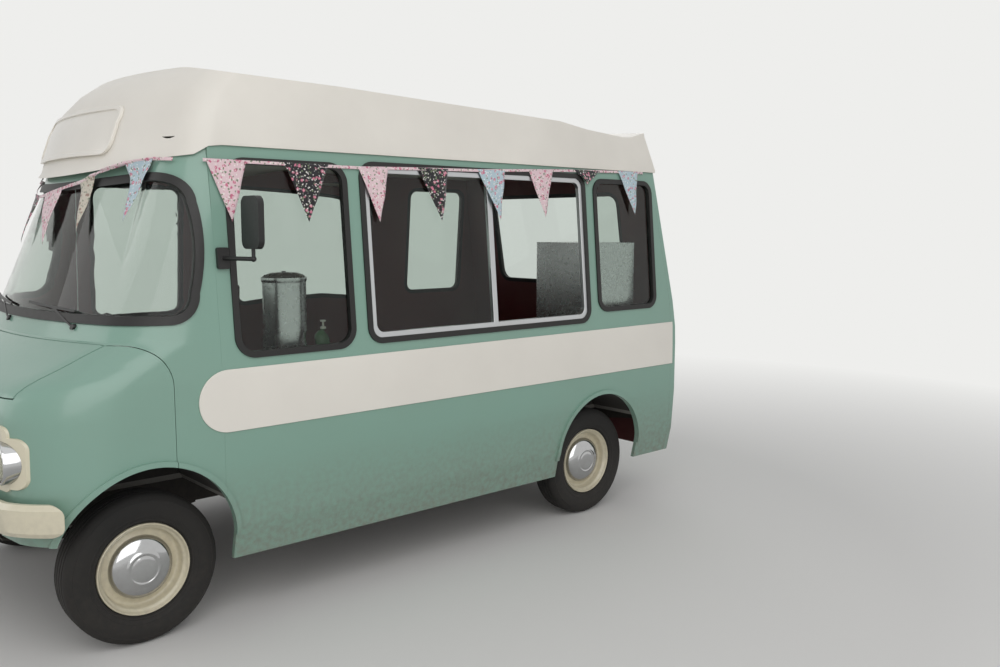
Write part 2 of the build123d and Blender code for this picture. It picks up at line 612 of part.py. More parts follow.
def coach_sides():
    """The long side panels, the rear panel, the driver's door and the bands."""
    lips = side_layer(-ARCH_LIP_PROUD, 4, PILLAR_SEAM_Y) & (FRONT_RING + REAR_RING)
    wall = (side_layer(0, SKIN, PILLAR_SEAM_Y) + lips) - rear_slab(REAR_SEAM)
    wall = wall - REAR_ARCH
    wall = wall - FRONT_ARCH
    left, right = wall, wall
    seals, panes = [], [serving_window()]
    for name, y0, y1, z0, z1, corner, sides in WINDOW_ROWS:
        hole, seal, pane = framed_opening(y0, y1, z0, z1, corner)
        if 1 in sides:
            left = left - hole
            seals.append(seal)
            if name != "serving":
                panes.append(pane)
        if -1 in sides:
            right = right - hole
            seals.append(across(seal))
            panes.append(across(pane))
    keep("side_panel_left", left)

    y0, y1, z0, z1, corner = DOOR.values()
    right = right - side_cut(rounded(y0, y1, z0, z1, corner), 0, FAR)
    gap = DOOR_GAP
    leaf = side_cut(rounded(y0 + gap, y1 - gap, z0 + gap, z1 - gap, corner - gap), 0, FAR)
    light, door_seal, door_glass = framed_opening(*DOOR_WINDOW.values())
    door = (side_layer(0, SKIN) & leaf) - light + door_handle()
    for z in DOOR_HINGE_HEIGHTS:
        body_half, door_half = door_hinge(z)
        right = right + body_half
        door = door + door_half
    keep("side_panel_right", across(right))
    keep("driver_door", across(door))
    keep("door_seal", across(door_seal))
    keep("door_glass", across(door_glass))

    half, low, high, corner = BACK_WINDOW.values()
    y0, y1 = BODY_REAR_Y - 330, BEHIND_Y
    flank = side_layer(0, SKIN, y0) & rear_slab(REAR_SEAM - SEAM)
    rear = (rear_layer(0, SKIN) & rear_slab(REAR_SEAM - SEAM)) + flank + across(flank)
    rear = rear & rear_layer(0, 500)
    keep("rear_panel", rear - front_cut(rounded(-half, half, low, high, corner), y0, y1))
    edge = front_cut(rounded(-half + SEAM, half - SEAM, low + SEAM, high - SEAM, corner), y0, y1)
    half, low, high, corner = half - SEAL_WIDTH, low + SEAL_WIDTH, high - SEAL_WIDTH, corner - SEAL_WIDTH
    sight = front_cut(rounded(-half, half, low, high, corner), y0, y1)
    pane = front_cut(rounded(-half + SEAM, half - SEAM, low + SEAM, high - SEAM, corner), y0, y1)
    seals.append((rear_layer(-SEAL_PROUD, SKIN - 2) & edge) - sight)
    panes.append(rear_layer(GLASS_DEPTH, GLASS_DEPTH + GLASS_THICK) & pane)
    keep("window_seals", *seals)
    keep("window_glass", *panes)

    outline = rounded(BAND_FRONT_Y, BEHIND_Y, BAND_LOW_Z, BAND_HIGH_Z, (BAND_HIGH_Z - BAND_LOW_Z) / 2 - 1)
    band = (side_layer(-BAND_THICK, -SEAM) & side_cut(outline, 0, FAR)) - rear_slab(REAR_SEAM - 14)
    behind_door = block(0, FAR, DOOR["y1"] + 12, BEHIND_Y, 0, WAIST_Z)
    keep("side_bands", band, across(band & behind_door))
    keep("door_band", across(band & leaf))


def roof_section(row, inset):
    """One cross-section of the roof, from below its joint up to the crown."""
    y, edge_rise, crown_rise = row
    skirt, edge = ROOF_SKIRT_X - inset, ROOF_EDGE_X - inset
    low = HEADER_LIP_Z - 60
    edge_z = ROOF_JOINT_Z + edge_rise - inset
    crown = Edge.make_three_point_arc((edge, y, edge_z), (0, y, edge_z + crown_rise), (-edge, y, edge_z))
    return Wire([
        Edge.make_line((-skirt, y, low), (skirt, y, low)),
        Edge.make_line((skirt, y, low), (skirt, y, ROOF_JOINT_Z)),
        Edge.make_line((skirt, y, ROOF_JOINT_Z), (edge, y, edge_z)), crown,
        Edge.make_line((-edge, y, edge_z), (-skirt, y, ROOF_JOINT_Z)),
        Edge.make_line((-skirt, y, ROOF_JOINT_Z), (-skirt, y, low))])


def header_outline(row, inset):
    """Plan of the roof at one height: the header's arc, its round corners and the straight sides."""
    rise, back = row
    z = ROOF_JOINT_Z + rise
    lean = min(max(rise, 0) / ROOF_ROWS[0][1], 1) * (ROOF_SKIRT_X - ROOF_EDGE_X)
    wide = ROOF_SKIRT_X + 2 - lean - inset
    lip, radius, bend = HEADER_LIP_Y + back + inset, HEADER_PLAN_RADIUS, HEADER_CORNER_RADIUS
    bend_x = wide - bend
    bend_y = lip + radius - math.sqrt((radius - bend) ** 2 - bend_x ** 2)
    turn = math.atan2(bend_x, lip + radius - bend_y)
    touch = (bend_x + bend * math.sin(turn), bend_y - bend * math.cos(turn))
    half_turn = (turn + math.pi / 2) / 2
    middle = (bend_x + bend * math.sin(half_turn), bend_y - bend * math.cos(half_turn))
    rear = BODY_REAR_Y
    return Wire([
        Edge.make_line((wide, rear, z), (wide, bend_y, z)),
        Edge.make_three_point_arc((wide, bend_y, z), (*middle, z), (*touch, z)),
        Edge.make_three_point_arc((*touch, z), (0, lip, z), (-touch[0], touch[1], z)),
        Edge.make_three_point_arc((-touch[0], touch[1], z), (-middle[0], middle[1], z), (-wide, bend_y, z)),
        Edge.make_line((-wide, bend_y, z), (-wide, rear, z)),
        Edge.make_line((-wide, rear, z), (wide, rear, z))])


def header_form(inset):
    """What lies behind the header's face, which leans back as it rises."""
    return Solid.make_loft([header_outline(row, inset) for row in HEADER_ROWS], True)


def roof_form(inset):
    """Roof solid: cross-sections along the van, cut by the header's face, the tail and the lower edge."""
    form = Solid.make_loft([roof_section(row, inset) for row in ROOF_ROWS], True)
    joint, tail = ROOF_JOINT_Z, rear_y_at(ROOF_JOINT_Z) - inset
    under = [(HEADER_LIP_Y + back, joint - drop) for back, drop in LIP_ROWS]
    front = HEADER_LIP_Y - 60
    profile = polygon(
        (front, under[0][1]), *under, (under[-1][0] + 60, joint - 13), (tail + 12, joint - 13),
        (tail + 12, joint), (tail - 32, joint + 200), (tail - 40, joint + 430), (front, joint + 430))
    return (form & header_form(inset)) & side_cut(profile, -FAR, FAR)


def roof_parts():
    """Roof moulding with its low hatch, and the name board on the header."""
    outer = roof_form(0)
    rows = [(y, edge + HATCH_RISE, crown) for y, edge, crown in ROOF_ROWS]
    raised = Solid.make_loft([roof_section(row, 0) for row in rows], True)
    plan = rounded(-HATCH_HALF, HATCH_HALF, *HATCH_Y, 60)
    hatch = raised & plan_cut(plan, ROOF_JOINT_Z + 300, ROOF_JOINT_Z + 600)
    top = ROOF_JOINT_Z + 700
    inside = roof_form(ROOF_WALL) & block(-FAR, FAR, HEADER_LIP_Y, BODY_REAR_Y, ROOF_JOINT_Z + SEAM, top)
    roof = (outer + hatch) - inside
    roof = roof - front_form(-SEAM, past=20)
    right = [(wide + SEAM, z) for z, wide, rear in WALL_ROWS]
    left = [(-x, z) for x, z in reversed(right)]
    roof = roof - (front_cut(polygon(*right, *left), PILLAR_SEAM_Y - SEAM, BEHIND_Y) - rear_slab(-SEAM))
    keep("roof", roof)

    half, corner, rim = SIGN_HALF, SIGN_CORNER, SIGN_RIM
    outline = rounded(-half, half, SIGN_LOW_Z, SIGN_HIGH_Z, corner)
    hollow = rounded(-half + rim, half - rim, SIGN_LOW_Z + rim, SIGN_HIGH_Z - rim, corner - rim)
    behind = header_form(-SEAM)
    back_y = HEADER_LIP_Y + 500
    plate = (header_form(-SIGN_THICK) & front_cut(outline, AHEAD_Y, back_y)) - behind
    raised = (header_form(-SIGN_RIM_THICK) & front_cut(outline - hollow, AHEAD_Y, back_y)) - behind
    keep("sign_board", plate + raised)


def bumpers():
    """Front bumper bent round the nose, and a straight one at the rear."""
    low, high = FRONT_BUMPER_LOW_Z, FRONT_BUMPER_HIGH_Z
    row = NOSE_ROWS[2]
    reach = FRONT_BUMPER_REACH + 5
    # columns: height, how far the section stands out from the nose
    section = [(low, reach - 16), (low + 20, reach - 2), (high - 20, reach), (high, reach - 16)]
    outer = Solid.make_loft([plan_outline(row, -out, FORM_BACK_Y, z) for z, out in section], True)
    behind = Face(plan_outline(row, -30, FORM_BACK_Y + 50, low - 10))
    inner = extrude(behind, amount=high - low + 20, dir=(0, 0, 1))
    ends = side_cut(rounded(AHEAD_Y, NOSE_Y + 200, low - 1, high + 1, 45), -FAR, FAR)
    bar = (outer - inner) & ends
    back, front = NOSE_Y - 5, NOSE_Y - 32
    for side in (1, -1):
        x = side * RAIL_X
        bar = bar + block(x - 25, x + 25, front, RAIL_FRONT_Y, RAIL_LOW_Z + 70, RAIL_HIGH_Z - 5)
        bar = bar + block(x - 25, x + 25, front, back, RAIL_LOW_Z + 70, low + 78)
    keep("front_bumper", bar)
    y = BODY_REAR_Y + REAR_BUMPER_REACH
    half = BODY_HALF_WIDTH - 105
    rear = front_cut(rounded(-half, half, REAR_BUMPER_LOW_Z, REAR_BUMPER_HIGH_Z, 25), y - 35, y)
    for side in (1, -1):
        x = side * RAIL_X
        rear = rear + block(x - 25, x + 25, BODY_REAR_Y + SEAM, y - 30, RAIL_LOW_Z + 40, RAIL_HIGH_Z - 20)
    keep("rear_bumper", rear)


def leaf_spring(axle_y, low_z, x):
    """A pack of leaves, each shorter than the one above, with its longest leaf's ends under the rail."""
    sag = RAIL_LOW_Z - low_z - SPRING_LEAVES * LEAF_THICK
    radius = (SPRING_HALF_LENGTH ** 2 + sag ** 2) / (2 * sag)
    centre = Pos(axle_y, RAIL_LOW_Z - sag + radius)
    pack = None
    for index in range(SPRING_LEAVES):
        inner = radius + index * LEAF_THICK
        half = SPRING_HALF_LENGTH - 95 * index
        ring = centre * (Circle(inner + LEAF_THICK) - Circle(inner))
        leaf = ring & rounded(axle_y - half, axle_y + half, low_z - 40, RAIL_LOW_Z, 1)
        leaf = side_cut(leaf, x - SPRING_HALF_WIDTH, x + SPRING_HALF_WIDTH)
        pack = leaf if pack is None else pack + leaf
    return pack


def wheel_boxes(bow, inner_x, wide):
    """Boxes over one pair of wheels: an arched shell with a wall at its inner side, on the floor."""
    y, z, radius = bow
    outer = side_cut(arch_sketch(y, z, radius + PANEL_THICK), inner_x, wide)
    room = side_cut(arch_sketch(y, z, radius), inner_x + PANEL_THICK, wide + 200)
    box = (outer - room) & block(0, FAR, AHEAD_Y, BEHIND_Y, FLOOR_Z, WAIST_Z)
    return box, room


def floor_parts():
    """Floor, bulkhead, engine cover and wheel boxes, which stand on the floor."""
    wide = half_width_at(FLOOR_LOW_Z) - SKIN - SEAM
    beyond_nose = block(-FAR, FAR, AHEAD_Y, FORM_BACK_Y - 100, SILL_Z, WAIST_Z + 100)
    beyond_nose = beyond_nose - front_form(SKIN + SEAM)
    behind, half, thick = BULKHEAD_Y + PANEL_THICK, TUB_HALF, FLOOR_THICK
    cover = block(-half, half, behind, TUB_REAR_Y, FLOOR_Z, TUB_TOP_Z)
    inside = block(-half + thick, half - thick, AHEAD_Y, TUB_REAR_Y - thick, 0, TUB_TOP_Z - thick)
    front, front_room = wheel_boxes(FRONT_BOW, FRONT_BOX_X, wide)
    front = front - beyond_nose
    rear, rear_room = wheel_boxes(REAR_BOW, REAR_BOX_X, wide)
    keep("wheel_boxes", front, across(front), rear, across(rear))
    floor_front = FRONT_AXLE_Y - FRONT_ARCH_RADIUS - PANEL_THICK
    floor = block(-wide, wide, floor_front, rear_y_at(FLOOR_Z) - SKIN - SEAM, FLOOR_LOW_Z, FLOOR_Z)
    floor = floor - block(-FRONT_BOX_X, FRONT_BOX_X, AHEAD_Y, BULKHEAD_Y - PANEL_THICK, SILL_Z, WAIST_Z)
    for room in (front_room, rear_room):
        floor = floor - room - across(room)
    keep("floor", floor - inside - beyond_nose)
    outside = side_cut(arch_sketch(*FRONT_BOW[:2], FRONT_ARCH_RADIUS + PANEL_THICK + SEAM),
                       FRONT_BOX_X - SEAM, FAR)
    bulkhead = block(-wide, wide, BULKHEAD_Y - PANEL_THICK, behind, FLOOR_Z, COUNTER_Z) - inside
    bulkhead = bulkhead - outside - across(outside) - beyond_nose
    keep("bulkhead", bulkhead, cover - inside)


def chassis_parts():
    """Ladder frame, outriggers, engine, axles, springs, exhaust and tank."""
    half_rail = RAIL_WIDTH / 2
    frame = None
    for side in (1, -1):
        x = side * RAIL_X
        rail = block(x - half_rail, x + half_rail, RAIL_FRONT_Y, RAIL_REAR_Y, RAIL_LOW_Z, RAIL_HIGH_Z)
        pad = block(x - 30, x + 30, JACK_PAD_Y - 35, JACK_PAD_Y + 35, RAIL_LOW_Z - 8, RAIL_LOW_Z)
        frame = rail + pad if frame is None else frame + rail + pad
    # columns: middle, lowest and highest above the rails' underside
    for y, z0, z1 in (
            (RAIL_FRONT_Y + 30, 20, 100), (FRONT_AXLE_Y + 406, 10, 50), (OUTRIGGER_YS[1] - 300, 20, 110),
            (OUTRIGGER_YS[2] - 100, 20, 110), (RAIL_REAR_Y - 90, 20, 110)):
        frame = frame + block(-RAIL_X, RAIL_X, y - 30, y + 30, RAIL_LOW_Z + z0, RAIL_LOW_Z + z1)
    keep("chassis_frame", frame)
    arms = []
    for y in OUTRIGGER_YS:
        root = RAIL_X + half_rail
        arm = polygon((root, RAIL_HIGH_Z), (root, RAIL_LOW_Z + 30), (root + 40, RAIL_LOW_Z + 30),
                      (OUTRIGGER_X, RAIL_HIGH_Z - 30), (OUTRIGGER_X, RAIL_HIGH_Z))
        arm = front_cut(arm, y - 20, y + 20)
        arm = arm + block(RAIL_X - 30, root + 30, y - 30, y + 30, RAIL_HIGH_Z, FLOOR_LOW_Z)
        arms += [arm, across(arm)]
    keep("outriggers", *arms)

    half, top = ENGINE_HALF, TUB_TOP_Z - 80
    engine = block(-half, half, ENGINE_FRONT_Y, ENGINE_REAR_Y, FLOOR_LOW_Z - 20, top)
    for y in (ENGINE_FRONT_Y + 240, ENGINE_REAR_Y - 200):
        engine = engine + block(-RAIL_X, RAIL_X, y - 20, y + 20, RAIL_HIGH_Z, FLOOR_LOW_Z - SEAM)
    keep("engine_block", engine)

    y, seat_z = FRONT_AXLE_Y, HUB_Z + 42
    beam = block(-KINGPIN_X + 30, KINGPIN_X - 30, y - 30, y + 30, HUB_Z - 30, HUB_Z + 30)
    for side in (1, -1):
        x = side * RAIL_X
        beam = beam + Pos(side * KINGPIN_X, y, HUB_Z) * Cylinder(36, 60)
        beam = beam + block(x - 40, x + 40, y - 60, y + 60, HUB_Z + 20, seat_z)
    for side in (1, -1):
        beam = beam - Pos(side * KINGPIN_X, y, HUB_Z) * Cylinder(KINGPIN_RADIUS, 100)
    keep("front_axle", beam)
    end, sleeve, tube_radius = WHEEL_X - 12, WHEEL_X - 70, 38
    taper = sleeve - 70
    casing = make_face([
        Line((0, -end), (AXLE_END, -end)), Line((AXLE_END, -end), (AXLE_END, -sleeve)),
        Line((AXLE_END, -sleeve), (tube_radius, -taper)), Line((tube_radius, -taper), (tube_radius, -130)),
        ThreePointArc((tube_radius, -130), (120, 0), (tube_radius, 130)),
        Line((tube_radius, 130), (tube_radius, taper)), Line((tube_radius, taper), (AXLE_END, sleeve)),
        Line((AXLE_END, sleeve), (AXLE_END, end)), Line((AXLE_END, end), (0, end)),
        Line((0, end), (0, -end))])
    tube = Pos(0, REAR_AXLE_Y, HUB_Z) * Rot(0, 90, 0) * revolve(Plane.XZ * casing, axis=Axis.Z)
    rear_seat_z = HUB_Z + 46
    for side in (1, -1):
        x = side * RAIL_X
        tube = tube + block(x - 40, x + 40, REAR_AXLE_Y - 60, REAR_AXLE_Y + 60, HUB_Z + 15, rear_seat_z)
    keep("rear_axle", tube)
    seats = ((FRONT_AXLE_Y, seat_z), (REAR_AXLE_Y, rear_seat_z))
    springs = [leaf_spring(axle_y, low, RAIL_X) for axle_y, low in seats]
    keep("leaf_springs", *springs, *[across(spring) for spring in springs])

    x, z, radius = PIPE_X, PIPE_Z, PIPE_RADIUS
    bend_y, end_y, low_z = REAR_AXLE_Y + 344, BODY_REAR_Y - 65, z - 127
    pipe = rod((x, FRONT_AXLE_Y + 446, z), (x, bend_y + 10, z), radius) + rod((x, 100, z), (x, 650, z), 80)
    pipe = pipe + rod((x, bend_y, z), (x, end_y, low_z), radius)
    pipe = pipe + rod((x, end_y - 10, low_z), (x, end_y + 85, low_z), radius)
    pipe = pipe + block(x - 20, x + 20, OUTRIGGER_YS[1] - 315, OUTRIGGER_YS[1] - 285, z, RAIL_LOW_Z + 20)
    keep("exhaust", pipe)
    tank_x = -RAIL_X - half_rail
    tank = side_cut(rounded(250, 950, 290, RAIL_HIGH_Z - 50 - SEAM, 40), -2 * RAIL_X, tank_x - 55)
    tank = tank & block(-FAR, 0, OUTRIGGER_YS[1] + 60, OUTRIGGER_YS[2] - 60, 0, RAIL_LOW_Z + 25)
    for y in (OUTRIGGER_YS[1] + 420, OUTRIGGER_YS[2] - 140):
        tank = tank + block(tank_x - 60, tank_x, y - 20, y + 20, RAIL_LOW_Z + 5, RAIL_LOW_Z + 24)
    keep("fuel_tank", tank)


def wheel_parts():
    """Knuckles and four wheels: tyre, steel wheel with drum, hub cap."""
    y = FRONT_AXLE_Y
    for name, side in (("left", 1), ("right", -1)):
        x = side * KINGPIN_X
        knuckle = Pos(x, y, HUB_Z) * Cylinder(KINGPIN_RADIUS - 0.05, 140)
        plate = side * 42
        for z0, z1 in ((HUB_Z + 36, HUB_Z + 70), (HUB_Z - 70, HUB_Z - 36)):
            knuckle = knuckle + block(x - side * 30, x + side * 62, y - 34, y + 34, z0, z1)
        knuckle = knuckle + block(x + plate, x + side * 62, y - 34, y + 34, HUB_Z - 70, HUB_Z + 70)
        stub = rod((x + side * 58, y, HUB_Z), (side * (WHEEL_X - 12), y, HUB_Z), AXLE_END)
        keep("knuckle_" + name, knuckle + stub)

    depth = TYRE_RADIUS - RIM_RADIUS + 3
    tyre_face = Pos(TYRE_RADIUS - depth / 2, 0) * RectangleRounded(depth, TYRE_WIDTH, 44)
    seat_radius = RIM_RADIUS + SEAM
    tyre_face = tyre_face & Pos(seat_radius + 300, 0) * Rectangle(600, 400)
    tyre_face = tyre_face - Pos(seat_radius, 0) * Rectangle(46, TYRE_WIDTH - 52)
    tyre = revolve(Plane.XZ * tyre_face, axis=Axis.Z)
    rim, disc = RIM_RADIUS, DISC_RADIUS
    rim_profile = polygon(
        (rim, -70), (rim, 70), (rim - 12, 70), (rim - 26, 52), (rim - 30, 20), (rim - 40, 12),
        (rim - 60, 16), (rim - 72, 28), (disc, 34), (disc - 40, 30), (disc - 40, 20), (disc - 4, 24),
        (rim - 70, 14), (rim - 60, 4), (rim - 34, 2), (rim - 32, -52), (rim - 12, -70))
    wheel = revolve(Plane.XZ * rim_profile, axis=Axis.Z)
    bore = AXLE_END + PIN_GAP
    wheel = wheel + revolve(Plane.XZ * polygon((bore, 20), (bore, -60), (DRUM_RADIUS, -60), (DRUM_RADIUS, 8),
                                               (disc - 40, 30.5), (bore + 5, 30.5)), axis=Axis.Z)
    cap_radius, seat_z = disc + 32, 34 + SEAM
    cap = revolve(Plane.XZ * make_face([
        Line((0, 72), (disc - 60, 70)), ThreePointArc((disc - 60, 70), (disc, 56), (cap_radius, 24)),
        Line((cap_radius, 24), (cap_radius, 19.6)), Line((cap_radius, 19.6), (disc + 23, 28.6)),
        Line((disc + 23, 28.6), (disc, seat_z + 0.2)), Line((disc, seat_z + 0.2), (0, seat_z + 0.2)),
        Line((0, seat_z + 0.2), (0, 72))]), axis=Axis.Z)
    for corner, side, y in (("fl", 1, FRONT_AXLE_Y), ("fr", -1, FRONT_AXLE_Y),
                            ("rl", 1, REAR_AXLE_Y), ("rr", -1, REAR_AXLE_Y)):
        seat = Pos(side * WHEEL_X, y, HUB_Z) * Rot(0, 90 * side, 0)
        keep("tyre_" + corner, seat * tyre)
        keep("wheel_" + corner, seat * wheel)
        keep("hub_cap_" + corner, seat * cap)


def fittings():
    """Lamps, plates, wipers and mirrors."""
    lamps = []
    for side in (1, -1):
        for z in (RAIL_HIGH_Z + 210, RAIL_HIGH_Z + 100):
            middle = Pos(side * (BODY_HALF_WIDTH - 185), BODY_REAR_Y + 12 + SEAM, z)
            lamps.append(middle * Rot(90, 0, 0) * Cylinder(45, 24))
    keep("rear_lamps", *lamps)
    y = NOSE_Y - 45
    under = FRONT_BUMPER_LOW_Z
    front_plate = block(-260, 260, y, y + 4, under - 114, under - 2)
    front_plate = front_plate + block(-240, 240, y, y + 25, under - 17, under - SEAM)
    y = BODY_REAR_Y + SEAM
    keep("number_plates", front_plate, block(-260, 260, y, y + 4, SILL_Z + 340, SILL_Z + 450))

    back_y = NOSE_Y + 585
    ahead = block(-FAR, FAR, AHEAD_Y, back_y, WAIST_Z + 30, WAIST_Z + 200)
    bosses = front_layer(-12, -SEAM) & ahead
    sweep = front_layer(-12, -SEAL_PROUD - 0.6) & ahead
    arms = []
    for x in (610, 20):
        z = WAIST_Z + 52
        arm = polygon((x - 7, z), (x + 7, z), (x - 180, z + 78), (x - 184, z + 68))
        blade = polygon((x - 20, z + 58), (x - 20, z + 68), (x - 400, z + 88), (x - 400, z + 78))
        boss = Pos(x, z) * Circle(11)
        sweeper = sweep & front_cut(arm + blade, AHEAD_Y, back_y)
        arms.append(sweeper + (bosses & front_cut(boss, AHEAD_Y, back_y)))
    keep("wipers", *arms)

    heads = []
    z = MIRROR_ARM_Z
    half, half_high, thick = MIRROR_HEAD
    # columns: side, foot from, foot to, arm and head, all behind the nose
    for side, foot0, foot1, arm_back, head_back in ((1, 855, 907, 881, 940), (-1, 817, 849, 833, 810)):
        arm_y, head_y = NOSE_Y + arm_back, NOSE_Y + head_back
        foot = side_cut(rounded(NOSE_Y + foot0, NOSE_Y + foot1, z - 45, z + 45, 10), 0, FAR)
        foot = side_layer(-20, -SEAM) & foot
        elbow = (MIRROR_X, head_y, z)
        arm = rod((half_width_at(z) + 12, arm_y, z), elbow, 9) + Pos(*elbow) * Sphere(12)
        arm = arm + rod(elbow, (MIRROR_X, head_y, z + 68), 8)
        outline = rounded(MIRROR_X - half, MIRROR_X + half, z + 148 - half_high, z + 148 + half_high, 36)
        whole = foot + arm
        whole = whole + front_cut(outline, head_y - thick / 2, head_y + thick / 2)
        heads.append(whole if side > 0 else across(whole))
    keep("door_mirrors", *heads)


def bunting():
    """Cotton tape along the roof's lower edge, with triangular flags hanging from it."""
    near, far = CLOTH_INSETS
    tops = [(NOSE_Y + start, ROOF_JOINT_Z - below) for start, end, tip, below, drop in SIDE_FLAGS]
    tops.append((NOSE_Y + SIDE_FLAGS[-1][1], tops[-1][1]))
    sheet = polygon(*tops, *[(y, z - TAPE_WIDTH) for y, z in reversed(tops)])
    for start, end, tip, below, drop in SIDE_FLAGS:
        z = ROOF_JOINT_Z - below
        sheet = sheet + polygon((NOSE_Y + start, z), (NOSE_Y + end, z), (NOSE_Y + tip, z - drop))
    first, last = NOSE_Y + SIDE_FLAGS[0][0] - 10, NOSE_Y + SIDE_FLAGS[-1][1] + 50
    side = side_layer(near, far, first, last) & side_cut(sheet, 0, FAR)
    z = FRONT_FLAG_TOP_Z
    left, right = FRONT_FLAGS[0][0] - 20, FRONT_FLAGS[-1][1] + 5
    sheet = polygon((left, z), (right, z), (right, z - TAPE_WIDTH), (left, z - TAPE_WIDTH))
    for x0, x1, tip in FRONT_FLAGS:
        sheet = sheet + polygon((x0, z), (x1, z), (tip, z - FLAG_DROP))
    keep("bunting", side, front_layer(near, far) & front_cut(sheet, AHEAD_Y, NOSE_Y + 765))


def interior():
    """Dashboard, wheel, seat, counter, urn and ice cream machine."""
    y, z, wide = BULKHEAD_Y, WAIST_Z, BODY_HALF_WIDTH - 105
    dash = polygon((y + 15, z - 165), (y + 15, z - 15), (y + 140, z - 30), (y + 220, z - 70),
                   (y + 220, z - 165))
    keep("dashboard", side_cut(dash, -wide, wide) & front_form(SKIN + SEAM))
    hub = (-SEAT_X, NOSE_Y + 875, WAIST_Z - 90)
    tilt = Rot(-35, 0, 0)
    ring = tilt * (Torus(190, 12) + Cylinder(40, 30))
    for angle in (90, 210, 330):
        turn = math.radians(angle)
        ring = ring + tilt * rod((0, 0, 0), (188 * math.cos(turn), 188 * math.sin(turn), 0), 7)
    ring = ring + rod((0, 0, 0), (0, BULKHEAD_Y + 26 - hub[1], -405), 18)
    keep("steering_wheel", Pos(*hub) * ring)
    y, x0, x1 = NOSE_Y + 1005, -SEAT_X - 220, -SEAT_X + 220
    base = side_cut(rounded(y + 20, y + 460, FLOOR_Z + SEAM, FLOOR_Z + 246, 30), x0 + 20, x1 - 20)
    cushion = side_cut(rounded(y, y + 460, FLOOR_Z + 246 + SEAM, FLOOR_Z + 356, 40), x0, x1)
    lean = polygon((y + 410, FLOOR_Z + 357), (y + 500, FLOOR_Z + 357), (y + 560, FLOOR_Z + 846),
                   (y + 510, FLOOR_Z + 856), (y + 480, FLOOR_Z + 846))
    back = side_cut(lean, x0, x1) + block(x0 + 10, x1 - 10, y + 420, y + 460, FLOOR_Z + 296, FLOOR_Z + 396)
    keep("driver_seat", base + cushion, back)
    side_in = half_width_at(FLOOR_Z) - SKIN - PANEL_THICK
    counter = block(COUNTER_INNER_X, side_in, NOSE_Y + 1105, BODY_REAR_Y - 250, FLOOR_Z + SEAM, COUNTER_Z)
    box = arch_sketch(*REAR_BOW[:2], REAR_ARCH_RADIUS + PANEL_THICK + SEAM)
    keep("serving_counter", counter - side_cut(box, REAR_BOX_X - SEAM, FAR))
    y = BODY_REAR_Y - 740
    x, foot = COUNTER_INNER_X + 40, COUNTER_Z + SEAM
    machine = block(x, x + 410, y, y + 440, foot, foot + 540)
    machine = machine - block(x - 1, x + 110, y + 50, y + 390, foot + 60, foot + 260)
    for side in (-1, 1):
        machine = machine + Pos(x + 55, y + 220 + side * 90, foot + 235) * Cylinder(18, 60)
    keep("ice_cream_machine", machine)
    urn = Cylinder(105, 400, align=(Align.CENTER, Align.CENTER, Align.MIN))
    urn = urn + Pos(0, 0, 400) * Cone(98, 60, 30, align=(Align.CENTER, Align.CENTER, Align.MIN))
    urn = urn + rod((-95, 0, 60), (-150, 0, 60), 12)
    keep("steel_urn", Pos(BODY_HALF_WIDTH - 225, NOSE_Y + 1265, foot) * urn)


if __name__ == "__main__":
    nose_parts()
    cab_parts()
    coach_sides()
    roof_parts()
    bumpers()
    floor_parts()
    chassis_parts()
    wheel_parts()
    fittings()
    bunting()
    interior()
    print(len(PARTS), "parts,", sum(PARTS.values()), "solids")
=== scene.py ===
import json
import math
import random

import bmesh
import bpy
from mathutils import Matrix, Vector
from mathutils.bvhtree import BVHTree


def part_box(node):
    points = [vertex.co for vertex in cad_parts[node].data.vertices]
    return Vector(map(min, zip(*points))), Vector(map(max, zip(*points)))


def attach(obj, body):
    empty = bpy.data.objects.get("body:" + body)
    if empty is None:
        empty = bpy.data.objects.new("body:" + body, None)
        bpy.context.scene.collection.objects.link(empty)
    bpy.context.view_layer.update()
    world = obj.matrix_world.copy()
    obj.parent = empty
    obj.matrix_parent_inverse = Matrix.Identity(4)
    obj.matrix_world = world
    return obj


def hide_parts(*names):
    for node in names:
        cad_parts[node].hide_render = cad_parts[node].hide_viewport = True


bl_info = {
    "name": "Ice cream van",
    "version": (1, 0, 0),
    "blender": (4, 5, 0),
    "location": "View3D > Sidebar > Van",
    "description": "Finishes a small coach-built ice cream van around its packed frame",
    "category": "Object",
}

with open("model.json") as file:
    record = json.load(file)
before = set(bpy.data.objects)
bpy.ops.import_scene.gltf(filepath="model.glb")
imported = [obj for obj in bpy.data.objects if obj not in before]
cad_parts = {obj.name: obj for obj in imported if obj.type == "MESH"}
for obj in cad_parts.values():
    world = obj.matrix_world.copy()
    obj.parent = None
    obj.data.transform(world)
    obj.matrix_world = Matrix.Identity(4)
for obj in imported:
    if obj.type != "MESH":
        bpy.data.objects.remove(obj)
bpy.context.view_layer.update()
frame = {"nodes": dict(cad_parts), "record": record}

# Places in metres: the axles and the nose along the van, and the middle of each wheel
FRONT_Y = (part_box("tyre_fl")[0][1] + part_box("tyre_fl")[1][1]) / 2
REAR_Y = (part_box("tyre_rl")[0][1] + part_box("tyre_rl")[1][1]) / 2
FRONT_OVERHANG = 0.539
NOSE_Y = FRONT_Y - FRONT_OVERHANG
HUB_Z = 0.320
WHEEL_X = 0.790
# Edges over this angle stay sharp, in degrees
SMOOTH_ANGLE = 32.0
# Vertices closer than this are one, in metres
MERGE_GAP = 0.00002


def to_linear(value):
    """One channel of a display colour, from 0 to 255, as a linear value."""
    value /= 255
    return value / 12.92 if value <= 0.04045 else ((value + 0.055) / 1.055) ** 2.4


def rgb(red, green, blue):
    """A display colour as linear red, green and blue."""
    return to_linear(red), to_linear(green), to_linear(blue)


def colour_prop(name, what, red, green, blue):
    """A colour that a user can change, with its display colour as default."""
    return bpy.props.FloatVectorProperty(
        name=name, description=what, subtype="COLOR", size=3, min=0.0, max=1.0, default=rgb(red, green, blue))


